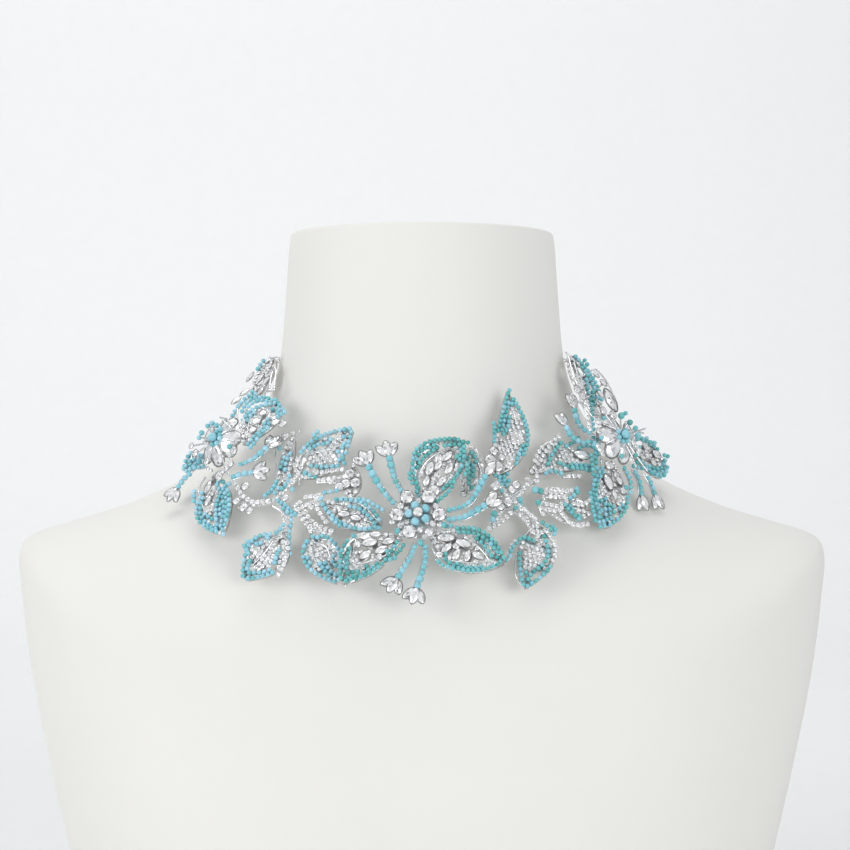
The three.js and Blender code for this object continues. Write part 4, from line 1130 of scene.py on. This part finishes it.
def front_centre():
    metal, collets, stones, beads, small = Pile(), Pile(), Pile(), Pile(), Pile()
    right, _, out = FRONT.axes
    seat = HUB_LIFT + SEAT_GAP + ROUND_STONE * 0.5
    for angle in ROUND_ANGLES:
        at = ring_point(FRONT, ROUND_RING, angle, seat)
        stones.add(BIG_CUT, at, ROUND_STONE, right, out)
        collets.add(ROUND_COLLET, at, ROUND_STONE, right, out)
        for k in range(ROUND_PRONGS):
            a = math.radians(angle + 360 / ROUND_PRONGS * k)
            corner = FRONT.direction((math.cos(a), math.sin(a), 0)) * ROUND_STONE
            metal.add(GRAIN, at + corner * 0.98 + out * 0.35, 0.42)
    at = FRONT.point((0, 0, HUB_LIFT + SEAT_GAP + BIG_BEAD + 1.45))
    stones.add(BIG_CUT, at, CENTRE_STONE, right, out)
    collets.add(ROUND_COLLET, at, CENTRE_STONE, right, out)
    for angle, ring, radius in HUB_STONES:
        at = ring_point(FRONT, ring, angle, HUB_LIFT + 0.6)
        small.add(ROUND_CUT, at, radius, right, unit(out + rng.normal(0, 0.15, 3)))
        metal.add(GRAIN, at + (right + FRONT.axes[1]) * radius * 0.75 + out * 0.2, 0.4)
    for i in range(5):
        at = ring_point(FRONT, BEAD_RING, 36 + 72 * i, HUB_LIFT + SEAT_GAP + BIG_BEAD)
        beads.add(BEAD, at, BIG_BEAD, tint=float(rng.uniform(0.6, 0.95)))
    for angle, ring, radius in HUB_BEADS:
        beads.add(BEAD, ring_point(FRONT, ring, angle, HUB_LIFT + 0.7), radius, tint=0.4)
    large = [f"front_round_stone_{i}" for i in range(1, 6)]
    stones.build("front_centre_stones", CRYSTAL, False, [*large, "front_centre_stone"])
    metal.build("front_centre_prongs", BRIGHT, True)
    # The rings round the stones are built in the darkest silver: painted shade.
    collets.build("front_centre_collets", RING_SHADE_SILVER, True)
    small.build("front_centre_small_stones", CRYSTAL, False)
    beads.build("front_centre_beads", TURQUOISE, True, [f"front_centre_bead_{i}" for i in range(1, 6)])


PEAR_REACH, PEAR_RING, PEAR_LIFT = 5.4, 6.5, 0.2
PEAR_TILT = math.radians(22)
PEAR_ANGLES = {"right": (22, 118, 172, 222, 272, 322), "left": (160, 62, 6, 332, 284, 234)}
PRONG_TURN = math.radians(25)               # from a pear stone to the prong beside it
PRONG = ((2.4, 2.6), (6.0, 2.4), (9.5, 0.6))    # distance from the middle, height
PRONG_BEAD = (2.9, 2.7, 1.15)               # the same, and the bead's radius


def side_centre(side, place):
    """Pear stones that radiate from a small hub and lean outwards, round one large bead."""
    metal, collets, stones, beads = Pile(), Pile(), Pile(), Pile()
    for angle in PEAR_ANGLES[side]:
        a = math.radians(angle)
        radial, out = place.direction((math.cos(a), math.sin(a), 0)), place.axes[2]
        across = radial * math.cos(PEAR_TILT) - out * math.sin(PEAR_TILT)
        table = radial * math.sin(PEAR_TILT) + out * math.cos(PEAR_TILT)
        at = ring_point(place, PEAR_RING, angle, PEAR_LIFT)
        stones.add(PEAR_CUT, at, PEAR_REACH, across, table)
        collets.add(PEAR_COLLET, at, PEAR_REACH, across, table)
        between = a + PRONG_TURN
        prong = [place.point((r * math.cos(between), r * math.sin(between), h)) for r, h in PRONG]
        metal.add(tube(smooth_path(prong, 6), 0.34, WIRE_SIDES))
        metal.add(GRAIN, prong[-1], 0.6)
        ring, height, radius = PRONG_BEAD
        at = place.point((ring * math.cos(between), ring * math.sin(between), height))
        beads.add(BEAD, at, radius, tint=float(rng.uniform(0.4, 1.0)))
    height = PEAR_REACH * math.sin(PEAR_TILT) + SIDE_BEAD
    beads.add(BEAD, place.point((0, 0, height)), SIDE_BEAD * 0.9, tint=0.75)
    disc = faceted(round_outline, 24, table=0.8, crown=0.05, pavilion=0.12)
    metal.add(disc, place.point((0, 0, -0.2)), HUB_RADIUS * 0.5, place.axes[0], place.axes[2])
    stones.build(f"{side}_pears", CRYSTAL, False, [f"{side}_flower_centre"])
    metal.build(f"{side}_prongs", BRIGHT, True, [f"{side}_flower_centre"])
    # The rings round the pear stones are built in the darkest silver: painted shade.
    collets.build(f"{side}_pear_collets", RING_SHADE_SILVER, True, [f"{side}_flower_centre"])
    beads.build(f"{side}_centre_beads", TURQUOISE, True, [f"{side}_centre_bead"])


front_centre()
side_centre("right", RIGHT_FLOWER)
side_centre("left", LEFT_FLOWER)

# ---------- stems ----------
STEMS = {
    "left_spray_stem": [
        [(-60, -71, 206), (-59.2, -69, 207.5), (-58.6, -67.5, 208.4)],
        [(-60, -71, 206), (-56, -70, 211), (-53, -68.5, 214.6)],
        [(-76, -61, 210), (-74, -66.5, 204), (-66, -70, 204), (-60, -71, 206)],
        [(-60, -71, 206), (-57, -76, 201), (-56, -81, 195), (-55.2, -84.8, 191.6)],
        [(-60, -71, 206), (-52, -75, 201.5), (-47, -80, 196.5), (-45, -85.5, 192.8)],
        [(-52, -75, 201.5), (-45, -78, 204.5), (-42.6, -78.8, 205)]],
    "right_spray_stem": [
        [(30, -76, 213.6), (34, -77.5, 209), (36, -77, 206), (41, -76, 209), (44, -73, 212.5)],
        [(36, -77, 206), (42, -80, 202), (46.5, -82, 198), (48, -83, 196.6)],
        [(36, -77, 206), (32, -82, 201), (28, -87, 194)]],
    "right_tendril": [[(38, -90, 190), (36.4, -92.4, 187.4), (35, -94.5, 184.6), (33.9, -96.2, 182)]],
    "right_fork": [
        [(63.5, -72.5, 208.5), (55, -73.5, 210), (47.5, -74, 209.5)],
        [(66, -79.5, 195), (57, -79, 198), (47.5, -77.5, 204.5)],
        [(52, -73.8, 210), (50, -77.8, 206), (49.5, -78, 203.2)]],
}
STEM_OUT = facing(5, 26)


def stem(name, branches):
    """Soldered wires with a row of small crystals along them."""
    wires, stones = Pile(), Pile()
    for branch in branches:
        path = smooth_path(branch, 10)
        wires.add(tube(path, 0.75))
        total = lengths(path)[-1]
        for distance in np.arange(1.0, total - 0.6, 2 * PAVE):
            at, forward = along(path, distance)
            out = unit(STEM_OUT - forward * STEM_OUT.dot(forward))
            stones.add(ROUND_CUT, at + out * 1.0, PAVE, forward, unit(out + rng.normal(0, 0.1, 3)))
            side = np.cross(out, forward)
            for corner in (side + forward, forward - side):
                wires.add(GRAIN, at + corner * PAVE * GRAIN_SPREAD + out * 1.2, GRAIN_RADIUS)
    wires.build(f"{name}_wire", BRIGHT, True, [name])
    stones.build(f"{name}_stones", CRYSTAL, False, [name])


for name, branches in STEMS.items():
    stem(name, branches)

# ---------- the chain behind the neck ----------
BACK_SIDE, BACK_BACK, BACK_Z, BACK_RISE = 69, 66.5, 265, 5
LINK_TURN = 4.0             # degrees round the neck for each link
LINK_HALF_WIDTH, LINK_WIRE, LINK_OVERLAP = 1.5, 0.5, 0.5
# first turn, last turn and the petal whose tip the chain hangs from
CHAINS = {"right": (-12.5, 82.4, "right_petal_upper"), "left": (186.5, 97.6, "left_petal_back")}


def back_point(turn):
    a = math.radians(turn)
    return np.array([BACK_SIDE * math.cos(a), BACK_BACK * math.sin(a), BACK_Z + BACK_RISE * math.sin(a)])


def link(centre, forward, wide, long_half):
    angles = np.arange(16) / 16 * 2 * math.pi
    loop = [centre + forward * math.cos(a) * long_half + wide * math.sin(a) * LINK_HALF_WIDTH
            for a in angles]
    return tube(np.array(loop), LINK_WIRE, WIRE_SIDES, closed=True)


def chain(side):
    first, last, petal = CHAINS[side]
    links = Pile()
    reach = np.array(SIDE_PETALS[petal]["tip"]) - back_point(first)
    long_half = np.linalg.norm(reach) / 2 + LINK_OVERLAP
    links.add(link(back_point(first) + reach / 2, unit(reach), unit(np.cross(reach, (0, 0, 1))), long_half))
    count = round(abs(last - first) / LINK_TURN)
    pitch = (last - first) / count
    for i in range(count):
        turn = first + (i + 0.5) * pitch
        centre = back_point(turn)
        forward = unit(back_point(turn + 1) - back_point(turn - 1))
        out = unit(np.array([centre[0], centre[1], 0.0]))
        out = unit(out - forward * out.dot(forward))
        up = np.cross(forward, out)
        wide = unit(out + up) if i % 2 else unit(out - up)
        span = np.linalg.norm(back_point(turn + pitch / 2) - back_point(turn - pitch / 2))
        links.add(link(centre, forward, wide, span / 2 + LINK_OVERLAP))
    links.build(f"{side}_chain_links", BRIGHT, True, [f"{side}_back_chain"])


chain("right")
chain("left")

# ---------- the CAD nodes that stay ----------
# The hub is given the darker silver, painted shade; the clasp keeps the silver's own tone.
for node, metal in (("front_flower_hub", SHADED_SILVER), ("clasp", BRIGHT)):
    body = bpy.data.objects[node]
    body.data.materials.clear()
    body.data.materials.append(metal)

neck_bust()


# ---------- the studio ----------
def backdrop():
    """A pale floor that sweeps up into a wall behind, in metres."""
    front, bend, radius, top, half_width, steps = -2.6, 1.2, 0.8, 4.0, 4.0, 12
    profile = [(front, 0.0), (bend, 0.0)]
    for k in range(1, steps + 1):
        a = k / steps * math.pi / 2
        profile.append((bend + radius * math.sin(a), radius - radius * math.cos(a)))
    profile.append((bend + radius, top))
    points, faces = [], []
    for y, z in profile:
        points += [(-half_width, y, z), (half_width, y, z)]
    for i in range(len(profile) - 1):
        faces.append((2 * i, 2 * i + 1, 2 * i + 3, 2 * i + 2))
    mesh = bpy.data.meshes.new("studio_floor")
    mesh.from_pydata(points, [], faces)
    material, nodes, links, shader = new_material("studio_paper")
    fibres = noise(nodes, links, 60.0)
    tone = ramp(nodes, links, fibres, [(0.3, (0.85, 0.852, 0.852)), (0.7, (0.86, 0.862, 0.862))])
    links.new(tone, shader.inputs["Base Color"])
    shader.inputs["Roughness"].default_value = 0.9
    mesh.materials.append(material)
    mesh.polygons.foreach_set("use_smooth", [True] * len(mesh.polygons))
    floor = bpy.data.objects.new("studio_floor", mesh)
    bpy.context.scene.collection.objects.link(floor)


CHEST = (0.0, -0.05, 0.2)
SOFTBOXES = [       # name, place, aim, width, height, power
    ("key", (-1.9, -1.35, 0.7), CHEST, 1.3, 1.3, 19.5),
    ("fill", (1.3, -2.0, 0.35), CHEST, 1.4, 1.6, 24),
    ("top", (0.0, -0.4, 2.2), (0, 0, 0.2), 1.6, 1.6, 4.5),
    ("wall", (-0.4, 0.6, 2.6), (-0.25, 2.0, 0.6), 2.6, 1.0, 27)]


def softbox(name, at, aim, width, height, power):
    light = bpy.data.lights.new(name, "AREA")
    light.shape = "RECTANGLE"
    light.size, light.size_y = width, height
    light.energy = power
    lamp = bpy.data.objects.new(name, light)
    bpy.context.scene.collection.objects.link(lamp)
    lamp.location = at
    direction = np.array(aim, float) - np.array(at, float)
    lamp.rotation_euler = Vector(direction).to_track_quat("-Z", "Y").to_euler()


def studio():
    backdrop()
    for row in SOFTBOXES:
        softbox(*row)
    world = bpy.data.worlds.new("studio")
    world.use_nodes = True
    world.node_tree.nodes["Background"].inputs["Color"].default_value = (0.93, 0.96, 1.0, 1)
    world.node_tree.nodes["Background"].inputs["Strength"].default_value = 0.45
    bpy.context.scene.world = world
    bpy.context.scene.view_settings.view_transform = "Standard"


SENSOR = 36.0               # millimetres
FOCAL_SHARE = 2000 / 850    # focal length over the image's width
EYE = (0.00135, -0.9, 0.237)


def camera():
    lens = bpy.data.cameras.new("camera")
    lens.sensor_width = SENSOR
    lens.lens = SENSOR * FOCAL_SHARE
    lens.clip_start = 0.05
    eye = bpy.data.objects.new("camera", lens)
    bpy.context.scene.collection.objects.link(eye)
    eye.location = EYE
    eye.rotation_euler = (math.pi / 2, 0, 0)
    bpy.context.scene.camera = eye


studio()
camera()
